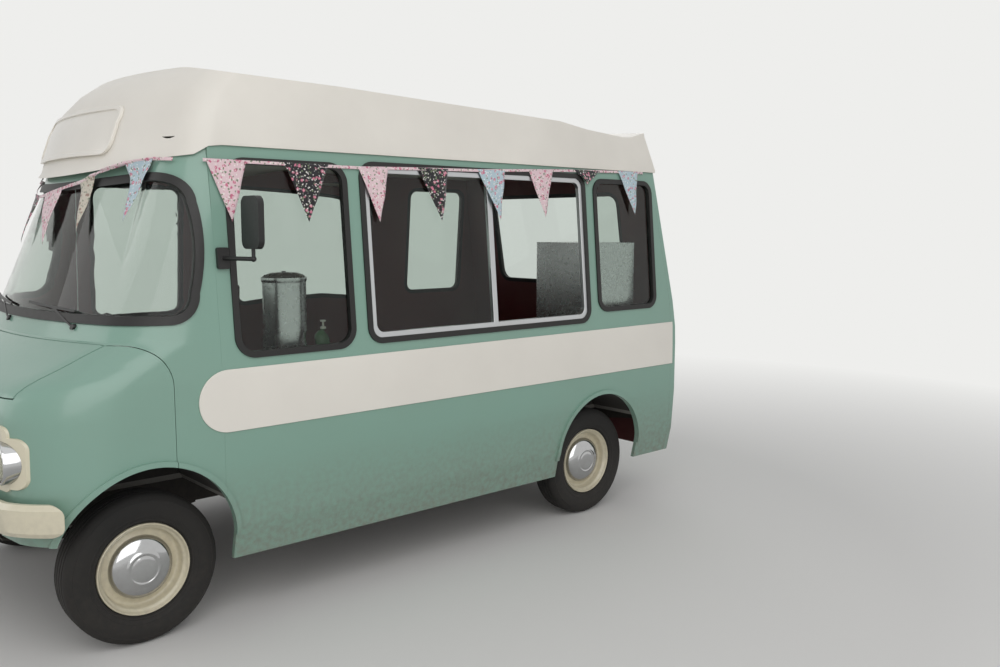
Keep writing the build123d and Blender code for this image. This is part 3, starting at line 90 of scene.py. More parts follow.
class VanColours(bpy.types.PropertyGroup):
    """Paint and trim colours."""
    body: colour_prop("Body", "Duck-egg green of the lower body", 130, 166, 150)
    roof: colour_prop("Roof", "Warm white of the roof moulding and side bands", 236, 231, 221)
    cream: colour_prop("Cream", "Cream of the bumpers, lamp surrounds and grille", 226, 218, 192)
    wheel: colour_prop("Wheels", "Cream of the steel wheels", 214, 205, 178)
    rubber: colour_prop("Rubber", "Black of the glazing rubbers", 15, 15, 15)
    lining: colour_prop("Lining", "Dark red of the inner walls", 84, 24, 27)
    seat: colour_prop("Seat", "Black vinyl of the seat", 26, 26, 27)


class BuntingSizes(bpy.types.PropertyGroup):
    """Sizes of the flags along the roof's lower edge."""
    drop: bpy.props.FloatProperty(name="Drop", description="Length of a flag from tape to tip",
                                  default=0.258, min=0.1, max=0.4, unit="LENGTH")
    tape: bpy.props.FloatProperty(name="Tape", description="Width of the tape",
                                  default=0.014, min=0.006, max=0.04, unit="LENGTH")


def new_group(name, inputs, outputs):
    """An empty shader node group with named sockets."""
    group = bpy.data.node_groups.new(name, "ShaderNodeTree")
    for label, kind, value in inputs:
        socket = group.interface.new_socket(label, in_out="INPUT", socket_type=kind)
        socket.default_value = value
    for label, kind in outputs:
        group.interface.new_socket(label, in_out="OUTPUT", socket_type=kind)
    return group, group.nodes.new("NodeGroupInput"), group.nodes.new("NodeGroupOutput")


def noise(tree, vector, scale, detail=3.0, roughness=0.55):
    """Cloudy noise; its scale is a number or a socket."""
    node = tree.nodes.new("ShaderNodeTexNoise")
    node.inputs["Detail"].default_value = detail
    node.inputs["Roughness"].default_value = roughness
    if isinstance(scale, (int, float)):
        node.inputs["Scale"].default_value = scale
    else:
        tree.links.new(scale, node.inputs["Scale"])
    tree.links.new(vector, node.inputs["Vector"])
    return node.outputs["Fac"]


def ramp(tree, value, low, high):
    """The value stretched from low..high to 0..1."""
    node = tree.nodes.new("ShaderNodeMapRange")
    node.inputs["From Min"].default_value = low
    node.inputs["From Max"].default_value = high
    tree.links.new(value, node.inputs["Value"])
    return node.outputs["Result"]


def maths(tree, operation, first, second):
    """One sum of two numbers or sockets."""
    node = tree.nodes.new("ShaderNodeMath")
    node.operation = operation
    for socket, value in zip(node.inputs, (first, second)):
        if isinstance(value, (int, float)):
            socket.default_value = value
        else:
            tree.links.new(value, socket)
    return node.outputs[0]


def mixed(tree, factor, first, second):
    """Two colours mixed by a factor."""
    node = tree.nodes.new("ShaderNodeMix")
    node.data_type = "RGBA"
    for socket, value in ((node.inputs[0], factor), (node.inputs[6], first), (node.inputs[7], second)):
        if isinstance(value, (int, float)):
            socket.default_value = value
        elif isinstance(value, tuple):
            socket.default_value = (*value, 1.0)
        else:
            tree.links.new(value, socket)
    return node.outputs[2]


def surface_group():
    """Uneven colour, road dust that thickens near the ground, and fine relief."""
    group, source, sink = new_group(
        "Worn surface",
        [("Vector", "NodeSocketVector", (0, 0, 0)), ("Colour", "NodeSocketColor", (0.5, 0.5, 0.5, 1)),
         ("Dust Colour", "NodeSocketColor", (0.2, 0.18, 0.15, 1)), ("Dust", "NodeSocketFloat", 0.3),
         ("Dust Height", "NodeSocketFloat", 0.7), ("Mottle", "NodeSocketFloat", 0.1),
         ("Roughness", "NodeSocketFloat", 0.3), ("Grain Scale", "NodeSocketFloat", 300.0)],
        [("Colour", "NodeSocketColor"), ("Roughness", "NodeSocketFloat"), ("Height", "NodeSocketFloat")])
    take = source.outputs
    broad = noise(group, take["Vector"], 2.2, 4.0)
    fine = noise(group, take["Vector"], 38.0, 5.0)
    grain = noise(group, take["Vector"], take["Grain Scale"], 2.0)
    shade = mixed(group, maths(group, "MULTIPLY", ramp(group, broad, 0.3, 0.7), take["Mottle"]),
                  take["Colour"], take["Dust Colour"])
    split = group.nodes.new("ShaderNodeSeparateXYZ")
    group.links.new(take["Vector"], split.inputs[0])
    low = maths(group, "DIVIDE", maths(group, "SUBTRACT", take["Dust Height"], split.outputs["Z"]), 0.45)
    low = maths(group, "MAXIMUM", maths(group, "MINIMUM", low, 1.0), 0.0)
    film = maths(group, "MULTIPLY", maths(group, "MULTIPLY", low, take["Dust"]),
                 maths(group, "ADD", ramp(group, fine, 0.35, 0.75), 0.35))
    film = maths(group, "MINIMUM", film, 1.0)
    group.links.new(mixed(group, film, shade, take["Dust Colour"]), sink.inputs["Colour"])
    rough = maths(group, "ADD", take["Roughness"], maths(group, "MULTIPLY", film, 0.35))
    rough = maths(group, "ADD", rough, maths(group, "MULTIPLY", ramp(group, fine, 0.3, 0.8), 0.06))
    group.links.new(rough, sink.inputs["Roughness"])
    group.links.new(maths(group, "ADD", grain, maths(group, "MULTIPLY", fine, 0.4)), sink.inputs["Height"])
    return group


def start_material(name):
    """A new material, which takes its name over from the frame's plain one."""
    plain = bpy.data.materials.get(name)
    if plain:
        plain.name = name + "_plain"
    material = bpy.data.materials.new(name)
    material.use_nodes = True
    tree = material.node_tree
    return tree, tree.nodes["Principled BSDF"], tree.nodes.new("ShaderNodeTexCoord").outputs["Object"]


def add_bump(tree, shader, height, strength, distance):
    """Relief from a height, on the shader's own normal."""
    bump = tree.nodes.new("ShaderNodeBump")
    bump.inputs["Strength"].default_value = strength
    bump.inputs["Distance"].default_value = distance
    tree.links.new(height, bump.inputs["Height"])
    tree.links.new(bump.outputs[0], shader.inputs["Normal"])


def worn(name, colour, roughness, *, metallic=0.0, coat=0.0, dust=0.3, dust_height=0.75, mottle=0.08,
         grain=300.0, relief=0.05, depth=0.0004, dust_colour=(0.20, 0.17, 0.14)):
    """A finish with mottled colour, dust towards the ground and fine relief."""
    tree, shader, place = start_material(name)
    node = tree.nodes.new("ShaderNodeGroup")
    node.node_tree = bpy.data.node_groups["Worn surface"]
    tree.links.new(place, node.inputs["Vector"])
    node.inputs["Colour"].default_value = (*colour, 1.0)
    node.inputs["Dust Colour"].default_value = (*dust_colour, 1.0)
    for label, value in (("Dust", dust), ("Dust Height", dust_height), ("Mottle", mottle),
                         ("Roughness", roughness), ("Grain Scale", grain)):
        node.inputs[label].default_value = value
    tree.links.new(node.outputs["Colour"], shader.inputs["Base Color"])
    tree.links.new(node.outputs["Roughness"], shader.inputs["Roughness"])
    shader.inputs["Metallic"].default_value = metallic
    shader.inputs["Coat Weight"].default_value = coat
    shader.inputs["Coat Roughness"].default_value = 0.08
    add_bump(tree, shader, node.outputs["Height"], relief, depth)


def glass_material(name, tint, ior):
    """Clear glass with faint smears that roughen its reflections."""
    tree, shader, place = start_material(name)
    smear = noise(tree, place, 9.0, 6.0, 0.7)
    tree.links.new(maths(tree, "MULTIPLY", ramp(tree, smear, 0.5, 0.9), 0.03), shader.inputs["Roughness"])
    shader.inputs["Base Color"].default_value = (*tint, 1.0)
    shader.inputs["Transmission Weight"].default_value = 1.0
    shader.inputs["IOR"].default_value = ior


# Name, ground, large blossom and small blossom of each cloth
CLOTHS = [
    ("cotton_pink", rgb(232, 204, 208), rgb(206, 112, 140), rgb(244, 236, 230)),
    ("cotton_black", rgb(30, 28, 32), rgb(214, 128, 150), rgb(232, 228, 222)),
    ("cotton_blue", rgb(186, 206, 214), rgb(206, 120, 144), rgb(240, 240, 236)),
    ("cotton_beige", rgb(206, 198, 182), rgb(158, 124, 110), rgb(128, 132, 116)),
]


def print_group():
    """Small blossoms scattered on a ground, with the weave's relief."""
    group, source, sink = new_group(
        "Scattered blossoms",
        [("Vector", "NodeSocketVector", (0, 0, 0)), ("Ground", "NodeSocketColor", (0.8, 0.8, 0.8, 1)),
         ("Large", "NodeSocketColor", (0.5, 0.1, 0.1, 1)), ("Small", "NodeSocketColor", (1, 1, 1, 1)),
         ("Leaf", "NodeSocketColor", rgb(120, 134, 104) + (1.0,))],
        [("Colour", "NodeSocketColor"), ("Height", "NodeSocketFloat")])
    take = source.outputs
    wobble = group.nodes.new("ShaderNodeTexNoise")
    wobble.inputs["Scale"].default_value = 160.0
    group.links.new(take["Vector"], wobble.inputs["Vector"])
    shift = group.nodes.new("ShaderNodeVectorMath")
    shift.operation = "MULTIPLY_ADD"
    shift.inputs[1].default_value = (0.012, 0.012, 0.012)
    group.links.new(wobble.outputs["Color"], shift.inputs[0])
    group.links.new(take["Vector"], shift.inputs[2])
    colour = take["Ground"]
    for label, scale, radius in (("Leaf", 58.0, 0.26), ("Large", 40.0, 0.30), ("Small", 75.0, 0.26)):
        cells = group.nodes.new("ShaderNodeTexVoronoi")
        cells.inputs["Scale"].default_value = scale
        group.links.new(shift.outputs[0], cells.inputs["Vector"])
        spot = ramp(group, cells.outputs["Distance"], radius + 0.05, radius - 0.05)
        colour = mixed(group, spot, colour, take[label])
        if label == "Large":
            heart = ramp(group, cells.outputs["Distance"], 0.13, 0.09)
            colour = mixed(group, heart, colour, take["Small"])
    group.links.new(colour, sink.inputs["Colour"])
    threads = []
    for axis in ("Y", "Z"):
        wave = group.nodes.new("ShaderNodeTexWave")
        wave.bands_direction = axis
        wave.inputs["Scale"].default_value = 260.0
        group.links.new(take["Vector"], wave.inputs["Vector"])
        threads.append(wave.outputs["Fac"])
    group.links.new(maths(group, "ADD", *threads), sink.inputs["Height"])
    return group


def printed_cotton(name, ground, large, small):
    """Thin cotton with a small flower print."""
    tree, shader, place = start_material(name)
    node = tree.nodes.new("ShaderNodeGroup")
    node.node_tree = bpy.data.node_groups["Scattered blossoms"]
    tree.links.new(place, node.inputs["Vector"])
    for label, value in (("Ground", ground), ("Large", large), ("Small", small)):
        node.inputs[label].default_value = (*value, 1.0)
    tree.links.new(node.outputs["Colour"], shader.inputs["Base Color"])
    shader.inputs["Roughness"].default_value = 0.85
    shader.inputs["Sheen Weight"].default_value = 0.3
    add_bump(tree, shader, node.outputs["Height"], 0.3, 0.0002)


def make_materials(colours):
    """Every finish, from the user's colours."""
    print_group()
    surface_group()
    body, roof, cream = tuple(colours.body), tuple(colours.roof), tuple(colours.cream)
    worn("body_green", body, 0.3, coat=0.35, dust=0.55, mottle=0.07, relief=0.04)
    worn("roof_white", roof, 0.42, coat=0.1, dust=0.1, mottle=0.10, relief=0.10, grain=140.0)
    worn("band_white", roof, 0.30, coat=0.4, dust=0.2, mottle=0.06)
    worn("sign_white", roof, 0.30, coat=0.3, dust=0.1, mottle=0.10)
    worn("cream_paint", cream, 0.28, coat=0.5, dust=0.4, mottle=0.10)
    worn("wheel_cream", tuple(colours.wheel), 0.3, coat=0.4, dust=0.22, dust_height=0.9, mottle=0.07)
    worn("chrome", rgb(190, 191, 192), 0.06, metallic=1.0, dust=0.12, mottle=0.03, relief=0.02)
    worn("rubber", tuple(colours.rubber), 0.5, dust=0.02, mottle=0.03, grain=500.0, relief=0.12)
    worn("aluminium", rgb(196, 198, 200), 0.30, metallic=1.0, dust=0.05, mottle=0.08, grain=700.0, relief=0.08)
    worn("chassis_black", rgb(15, 15, 15), 0.75, dust=0.15, dust_height=0.8, mottle=0.12, grain=180.0, relief=0.3)
    worn("floor_vinyl", rgb(104, 104, 100), 0.5, dust=0.5, mottle=0.2, grain=260.0, relief=0.3)
    worn("lamp_red", rgb(150, 18, 14), 0.2, coat=0.6, dust=0.2)
    worn("plate_blank", rgb(58, 58, 58), 0.35, dust=0.4)
    worn("black_plastic", rgb(13, 13, 14), 0.42, dust=0.04, mottle=0.03, grain=420.0, relief=0.25)
    worn("seat_vinyl", tuple(colours.seat), 0.45, mottle=0.12, grain=240.0, relief=0.35, dust=0.0)
    worn("steel", rgb(206, 207, 208), 0.24, metallic=1.0, dust=0.0, mottle=0.02, grain=600.0, relief=0.01,
         depth=0.0001)
    worn("engine_iron", rgb(60, 58, 56), 0.65, dust=0.7, mottle=0.3, grain=160.0, relief=0.5)
    worn("exhaust_steel", rgb(112, 100, 90), 0.5, metallic=0.8, dust=0.6, mottle=0.4, grain=200.0, relief=0.3)
    worn("tyre", rgb(13, 13, 13), 0.8, dust=0.06, dust_height=0.7, mottle=0.05, grain=350.0, relief=0.3)
    worn("bunting_cotton", rgb(214, 176, 182), 0.85, dust=0.0, mottle=0.1, grain=900.0, relief=0.4)
    worn("lining_red", tuple(colours.lining), 0.5, dust=0.0, mottle=0.12, grain=320.0, relief=0.2)
    worn("lining_cream", rgb(168, 160, 142), 0.5, dust=0.0, mottle=0.12, grain=320.0, relief=0.2)
    glass_material("glass", rgb(214, 222, 217), 1.3)
    glass_material("lamp_glass", rgb(238, 238, 220), 1.45)
    worn("soap_green", rgb(66, 120, 70), 0.2, coat=0.5, dust=0.0)
    for name, ground, large, small in CLOTHS:
        printed_cotton(name, ground, large, small)


def material(name):
    """The finish with a name."""
    return bpy.data.materials[name]


def finished_mesh(name, bm):
    """A mesh from edited geometry, which is freed."""
    mesh = bpy.data.meshes.new(name)
    bm.to_mesh(mesh)
    bm.free()
    return mesh


def add_piece(name, mesh, body, materials, replaces=()):
    """A new piece at the origin, on its body and in its slot."""
    piece = bpy.data.objects.new(name, mesh)
    bpy.context.collection.objects.link(piece)
    for item in materials:
        mesh.materials.append(item)
    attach(piece, body)
    if replaces:
        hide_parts(*replaces)
    return piece


def body_of_node(node):
    """The body that a frame's node belongs to."""
    for body, nodes in frame["record"]["behaviour"]["bodies"].items():
        if node in nodes:
            return body
    raise ValueError(node)


def slot_of_node(node):
    """The material slot of a frame's node."""
    for row in frame["record"]["subparts"]:
        if row["node"] == node:
            return row["material_slot"]
    raise ValueError(node)


def smooth_by_angle(bm, degrees):
    """Shades faces smooth and keeps edges over the angle sharp."""
    limit = math.radians(degrees)
    for face in bm.faces:
        face.smooth = True
    for edge in bm.edges:
        edge.smooth = len(edge.link_faces) == 2 and edge.calc_face_angle(0.0) < limit


# Nodes whose inner side has a lining, and its finish
LINED = {"side_panel_left": "lining_red", "side_panel_right": "lining_red", "rear_panel": "lining_red",
         "driver_door": "lining_red", "cab_front": "lining_red", "roof": "lining_cream"}
# Nodes that stand a little prouder than their solids, and by how much
THICKER = {"windscreen_seal": 0.003, "window_seals": 0.003, "door_seal": 0.003}
# Nodes with pressed or cast edges, and how far their corners are rounded
ROUNDED = {"front_bumper": 0.010, "rear_bumper": 0.010, "headlamp_bezels": 0.004, "sign_board": 0.003,
           "serving_counter": 0.003, "ice_cream_machine": 0.008, "door_mirrors": 0.004, "wipers": 0.001,
           "number_plates": 0.001, "dashboard": 0.008, "side_bands": 0.0022, "door_band": 0.0022,
           "serving_frame": 0.002, "steel_urn": 0.004, "rear_lamps": 0.004, "windscreen_seal": 0.003,
           "window_seals": 0.003, "door_seal": 0.003, "bulkhead": 0.004}
# The middle line of the inside: its front and rear end, and its height
MIDDLE_FRONT, MIDDLE_REAR, MIDDLE_Z = -1.0, 1.5, 1.5
# How squarely a face has to look at that line to be lining
LINING_SHARE = 0.35


def faces_inward(face):
    """Whether a face looks at the middle of the body."""
    centre = face.calc_center_median()
    middle = Vector((0, max(min(centre.y, MIDDLE_REAR), MIDDLE_FRONT), min(centre.z, MIDDLE_Z)))
    return face.normal.dot((middle - centre).normalized()) > LINING_SHARE


def smoothed_copy(node):
    """A copy of a node's mesh, merged and shaded smooth, that stands for the node."""
    mesh = frame["nodes"][node].data.copy()
    mesh.materials.clear()
    bm = bmesh.new()
    bm.from_mesh(mesh)
    bmesh.ops.remove_doubles(bm, verts=bm.verts, dist=MERGE_GAP)
    if node in ROUNDED:
        bmesh.ops.dissolve_limit(bm, angle_limit=math.radians(0.5), verts=bm.verts, edges=bm.edges)
    smooth_by_angle(bm, SMOOTH_ANGLE)
    for vertex in bm.verts if node in THICKER else ():
        vertex.co += vertex.normal * THICKER[node]
    for face in bm.faces if node in LINED else ():
        face.material_index = int(faces_inward(face))
    bm.to_mesh(mesh)
    bm.free()
    mesh.name = node + "_skin"
    slot = slot_of_node(node)
    finishes = [material(slot)] + ([material(LINED[node])] if node in LINED else [])
    piece = add_piece(node + "_skin", mesh, body_of_node(node), finishes, [node])
    if node in ROUNDED:
        edge = piece.modifiers.new("Rounded edge", "BEVEL")
        edge.width = ROUNDED[node]
        edge.segments = 3
        edge.limit_method = "ANGLE"
        edge.angle_limit = math.radians(50)


SKINS = [
    "bonnet", "front_wings", "nose_panel", "cab_front", "side_panel_left", "side_panel_right", "rear_panel",
    "driver_door", "roof", "sign_board", "side_bands", "windscreen_seal", "window_seals", "door_seal",
    "serving_frame", "grille", "headlamp_bezels", "front_bumper", "rear_bumper", "windscreen",
    "window_glass", "door_glass", "rear_lamps", "number_plates", "wipers", "door_mirrors", "chassis_frame",
    "floor", "front_axle", "rear_axle", "leaf_springs", "engine_block", "exhaust", "fuel_tank", "dashboard",
    "steering_wheel", "serving_counter", "ice_cream_machine", "knuckle_left", "knuckle_right", "outriggers",
    "door_band", "bulkhead", "wheel_boxes",
]


class VAN_OT_skins(bpy.types.Operator):
    """Smooth the coachwork and the fittings"""
    bl_idname = "van.skins"
    bl_label = "Coachwork"

    def execute(self, context):
        for node in SKINS:
            smoothed_copy(node)
        return {"FINISHED"}


def turned(name, profile, place, axis, body, slot, node=None, steps=96, angle=24.0, finishes=()):
    """A closed shape turned about an axis, from points of radius and distance along it."""
    bm = bmesh.new()
    loop = [bm.verts.new((radius, 0, along)) for radius, along in profile]
    edges = [bm.edges.new(pair) for pair in zip(loop, loop[1:])]
    if profile[0][0] > 0:
        edges.append(bm.edges.new((loop[-1], loop[0])))
    bmesh.ops.spin(bm, geom=loop + edges, cent=(0, 0, 0), axis=(0, 0, 1), angle=math.tau, steps=steps,
                   use_merge=True)
    bmesh.ops.remove_doubles(bm, verts=bm.verts, dist=MERGE_GAP)
    bmesh.ops.recalc_face_normals(bm, faces=bm.faces)
    smooth_by_angle(bm, angle)
    turn = Vector((0, 0, 1)).rotation_difference(Vector(axis)).to_matrix().to_4x4()
    bmesh.ops.transform(bm, matrix=Matrix.Translation(place) @ turn, verts=bm.verts)
    add_piece(name, finished_mesh(name, bm), body, finishes or [material(slot)], [node] if node else ())


def tyre_profile():
    """Radius and distance across: sidewalls with raised rings, and a tread with four grooves."""
    wall = [(0.1965, 0.060), (0.1965, 0.064), (0.201, 0.0665), (0.203, 0.072), (0.209, 0.0755),
            (0.212, 0.0745), (0.224, 0.0795), (0.227, 0.0812), (0.230, 0.0805), (0.250, 0.0848),
            (0.262, 0.0855), (0.276, 0.0842), (0.288, 0.0808), (0.2905, 0.0815), (0.2935, 0.0795),
            (0.303, 0.0735), (0.3105, 0.0665), (0.3155, 0.0590), (0.3175, 0.0530)]
    tread = []
    for middle in (0.0395, 0.0135):
        tread += [(0.3190, middle + 0.0042), (0.3175, middle + 0.0030), (0.3120, middle + 0.0022),
                  (0.3120, middle - 0.0022), (0.3175, middle - 0.0030), (0.3192, middle - 0.0042)]
    half = wall + tread
    inner = [(0.220, -0.056), (0.220, 0.056)]
    return half + [(radius, -across) for radius, across in reversed(half)] + inner


# Points of radius and distance across, outward from the wheel's middle plane
WHEEL_PROFILE = [
    (0.1935, -0.070), (0.1935, 0.060), (0.1938, 0.0665), (0.1930, 0.0700), (0.1905, 0.0716), (0.1875, 0.0710),
    (0.1855, 0.0685), (0.1835, 0.0625), (0.1800, 0.0575), (0.1755, 0.0545), (0.1715, 0.0510), (0.1695, 0.0440),
    (0.1685, 0.0300), (0.1668, 0.0225), (0.1630, 0.0165), (0.1585, 0.0148), (0.1530, 0.0152), (0.1480, 0.0172),
    (0.1400, 0.0190), (0.1320, 0.0228), (0.1240, 0.0285), (0.1150, 0.0325), (0.1000, 0.0345), (0.0600, 0.0310),
    (0.0600, 0.0200), (0.0960, 0.0240), (0.1250, 0.0140), (0.1350, 0.0040), (0.1610, 0.0020), (0.1630, -0.052),
    (0.1830, -0.070)]
CAP_PROFILE = [
    (0.0, 0.0722), (0.012, 0.0721), (0.026, 0.0716), (0.040, 0.0706), (0.0505, 0.0694), (0.0540, 0.0678),
    (0.0575, 0.0674), (0.0605, 0.0692), (0.0650, 0.0700), (0.0695, 0.0690), (0.0725, 0.0668), (0.0800, 0.0654),
    (0.0900, 0.0630), (0.1000, 0.0598), (0.1100, 0.0556), (0.1190, 0.0504), (0.1260, 0.0444), (0.1310, 0.0372),
    (0.1338, 0.0300), (0.1345, 0.0252), (0.1340, 0.0225), (0.1315, 0.0215), (0.1285, 0.0290), (0.1200, 0.0400),
    (0.1000, 0.0360), (0.0, 0.0360)]
DRUM_PROFILE = [(0.033, -0.060), (0.128, -0.060), (0.130, -0.056), (0.130, 0.004), (0.062, 0.019),
                (0.033, 0.019)]


class VAN_OT_wheels(bpy.types.Operator):
    """Turn the tyres, the steel wheels and the chrome hub caps"""
    bl_idname = "van.wheels"
    bl_label = "Wheels"

    def execute(self, context):
        for corner, side, y in (("fl", 1, FRONT_Y), ("fr", -1, FRONT_Y), ("rl", 1, REAR_Y), ("rr", -1, REAR_Y)):
            place, axis, body = (side * WHEEL_X, y, HUB_Z), (side, 0, 0), "wheel_" + corner
            turned("tyre_rubber_" + corner, tyre_profile(), place, axis, body, "tyre", "tyre_" + corner)
            turned("steel_wheel_" + corner, WHEEL_PROFILE, place, axis, body, "wheel_cream", "wheel_" + corner,
                   angle=40.0)
            turned("brake_drum_" + corner, DRUM_PROFILE, place, axis, body, "chassis_black", steps=64)
            turned("chrome_cap_" + corner, CAP_PROFILE, place, axis, body, "chrome", "hub_cap_" + corner,
                   angle=40.0)
        return {"FINISHED"}


LAMP_X = 0.750
LAMP_Y = NOSE_Y + 0.077
LAMP_Z = 0.832
# Points of radius and distance forward from the lamp's place
RIM_PROFILE = [
    (0.0715, 0.030), (0.0725, 0.034), (0.0745, 0.0365), (0.0780, 0.0370), (0.0810, 0.0350), (0.0832, 0.0310),
    (0.0838, 0.0260), (0.0838, -0.0380), (0.0815, -0.0380), (0.0810, 0.0180), (0.0760, 0.0240)]
BOWL_PROFILE = [
    (0.0, -0.030), (0.020, -0.0295), (0.040, -0.0230), (0.058, -0.0080), (0.070, 0.0100), (0.0755, 0.0220),
    (0.0765, 0.0220), (0.0715, 0.0085), (0.0590, -0.0105), (0.040, -0.0260), (0.0, -0.0330)]
BULB_PROFILE = [(0.0, 0.004), (0.006, 0.002), (0.009, -0.004), (0.009, -0.012), (0.007, -0.018), (0.007, -0.030),
                (0.0, -0.030)]
LENS_RADIUS = 0.0745
LENS_EDGE = 0.0285
LENS_RISE = 0.0125
LENS_WALL = 0.0025
FLUTE_WIDTH = 0.0085
FLUTE_DEPTH = 0.0011
FLUTE_FADE = 0.004


class VAN_OT_lamps(bpy.types.Operator):
    """Make the headlamps: fluted lens, bowl, bulb and chrome rim"""
    bl_idname = "van.lamps"
    bl_label = "Headlamps"

    def execute(self, context):
        for name, side in (("left", 1), ("right", -1)):
            place = (side * LAMP_X, LAMP_Y, LAMP_Z)
            turned("headlamp_rim_" + name, RIM_PROFILE, place, (0, -1, 0), "body", "chrome", "headlamps")
            turned("headlamp_bowl_" + name, BOWL_PROFILE, place, (0, -1, 0), "body", "chrome", steps=64)
            turned("headlamp_bulb_" + name, BULB_PROFILE, place, (0, -1, 0), "body", "steel", steps=24)
            self.lens(name, place)
        return {"FINISHED"}

    def lens(self, name, place):
        """A shallow dome with upright flutes on its outer face."""
        bm = bmesh.new()
        bmesh.ops.create_grid(bm, x_segments=110, y_segments=40, size=LENS_RADIUS)
        for vertex in bm.verts:
            if vertex.co.to_2d().length > LENS_RADIUS:
                flat = vertex.co.to_2d().normalized() * LENS_RADIUS
                vertex.co = (flat.x, flat.y, 0)
        bmesh.ops.remove_doubles(bm, verts=bm.verts, dist=0.0002)
        for vertex in bm.verts:
            reach = vertex.co.to_2d().length
            flute = FLUTE_DEPTH * abs(math.sin(vertex.co.x * math.pi / FLUTE_WIDTH))
            fade = min(1.0, max(0.0, (LENS_RADIUS - reach) / FLUTE_FADE))
            vertex.co.z = LENS_EDGE + LENS_RISE * (1 - (reach / LENS_RADIUS) ** 2) - flute * fade
        turn = Vector((0, 0, 1)).rotation_difference(Vector((0, -1, 0))).to_matrix().to_4x4()
        bmesh.ops.recalc_face_normals(bm, faces=bm.faces)
        if sum(face.normal.z for face in bm.faces) < 0:
            bmesh.ops.reverse_faces(bm, faces=bm.faces)
        bmesh.ops.transform(bm, matrix=Matrix.Translation(place) @ turn, verts=bm.verts)
        smooth_by_angle(bm, 50.0)
        mesh = finished_mesh("headlamp_lens_" + name, bm)
        lens = add_piece("headlamp_lens_" + name, mesh, "body", [material("lamp_glass")])
        wall = lens.modifiers.new("Wall", "SOLIDIFY")
        wall.thickness = LENS_WALL
        wall.offset = -1.0


# Along the side, in metres behind the nose: front corner, rear corner, tip, height of the top, drop, cloth
SIDE_FLAGS = [
    (0.835, 1.019, 0.933, 2.012, 0.258, "cotton_pink"), (1.195, 1.419, 1.299, 2.012, 0.258, "cotton_black"),
    (1.576, 1.748, 1.680, 2.012, 0.258, "cotton_pink"), (1.922, 2.114, 2.053, 2.022, 0.258, "cotton_black"),
    (2.308, 2.501, 2.443, 2.030, 0.258, "cotton_blue"), (2.673, 2.862, 2.777, 2.046, 0.258, "cotton_pink"),
    (3.035, 3.243, 3.130, 2.059, 0.080, "cotton_black"), (3.415, 3.596, 3.545, 2.068, 0.258, "cotton_blue")]
# Across the front, as places across and up: the tape's line, and each flag's corners, tip and cloth
FRONT_LINE = [(-0.760, 2.010), (-0.600, 1.960), (-0.330, 1.888), (-0.170, 1.876), (-0.067, 1.880), (0.145, 1.908),
              (0.301, 1.930), (0.408, 1.962), (0.593, 2.004), (0.749, 2.018), (0.840, 2.014)]
FRONT_FLAGS = [((-0.330, 1.888), (-0.170, 1.876), (-0.190, 1.655), "cotton_black"),
               ((-0.067, 1.880), (0.145, 1.908), (0.146, 1.650), "cotton_pink"),
               ((0.301, 1.930), (0.408, 1.962), (0.418, 1.710), "cotton_beige"),
               ((0.593, 2.004), (0.749, 2.018), (0.666, 1.754), "cotton_blue")]
# The drop that the flags' places were read at
FLAG_DROP = 0.258
# How far the windscreen's rubber stands over its glass
GLASS_DEPTH = 0.008
# How far the tape and the flags' upper edges stand off the wall
TAPE_PROUD = 0.0095
FLAG_PROUD = 0.0092
# The side's slope: heights of the waist, the cant rail and the moulding, and half the width at each
WAIST_Z, RAIL_Z = 1.270, 1.930
WAIST_HALF, RAIL_HALF = 0.972, 0.914
# Rays start this far out, and round a point, so that cloth bridges gaps and edges
RAY_REACH = 2.6
RAY_MOVES = (0, 0), (0.02, 0), (-0.02, 0), (0, 0.02), (0, -0.02), (0, 0.04)


def half_width(z):
    """Half the body's width at a height above the waist."""
    if z < RAIL_Z:
        return WAIST_HALF - (z - WAIST_Z) * 0.058 / 0.660
    return RAIL_HALF - (z - RAIL_Z) * 0.014 / 0.153


def wall_tree():
    """The outer faces behind the bunting, to lay cloth on."""
    bm = bmesh.new()
    bm.from_mesh(frame["nodes"]["windscreen"].data)
    bmesh.ops.remove_doubles(bm, verts=bm.verts, dist=MERGE_GAP)
    bm.normal_update()
    for vertex in bm.verts:
        vertex.co += vertex.normal * GLASS_DEPTH
    for node in ("cab_front", "windscreen_seal", "roof"):
        bm.from_mesh(frame["nodes"][node].data)
    tree = BVHTree.FromBMesh(bm)
    bm.free()
    return tree


def lay(tree, point, toward, proud):
    """A point brought to lie proud of the wall that it meets along a direction."""
    toward = Vector(toward)
    if toward.x:
        return Vector((half_width(point[2]) + proud, point[1], point[2]))
    far = Vector(point) - toward * (RAY_REACH + toward.dot(Vector(point)))
    side = toward.cross(Vector((0, 0, 1)))
    reaches = []
    for across, up in RAY_MOVES:
        hit = tree.ray_cast(far + side * across + Vector((0, 0, up)), toward)
        if hit[0] is not None:
            reaches.append(hit[3])
    if not reaches:
        raise ValueError(f"no wall behind {tuple(point)}")
    return far + toward * (min(reaches) - proud)


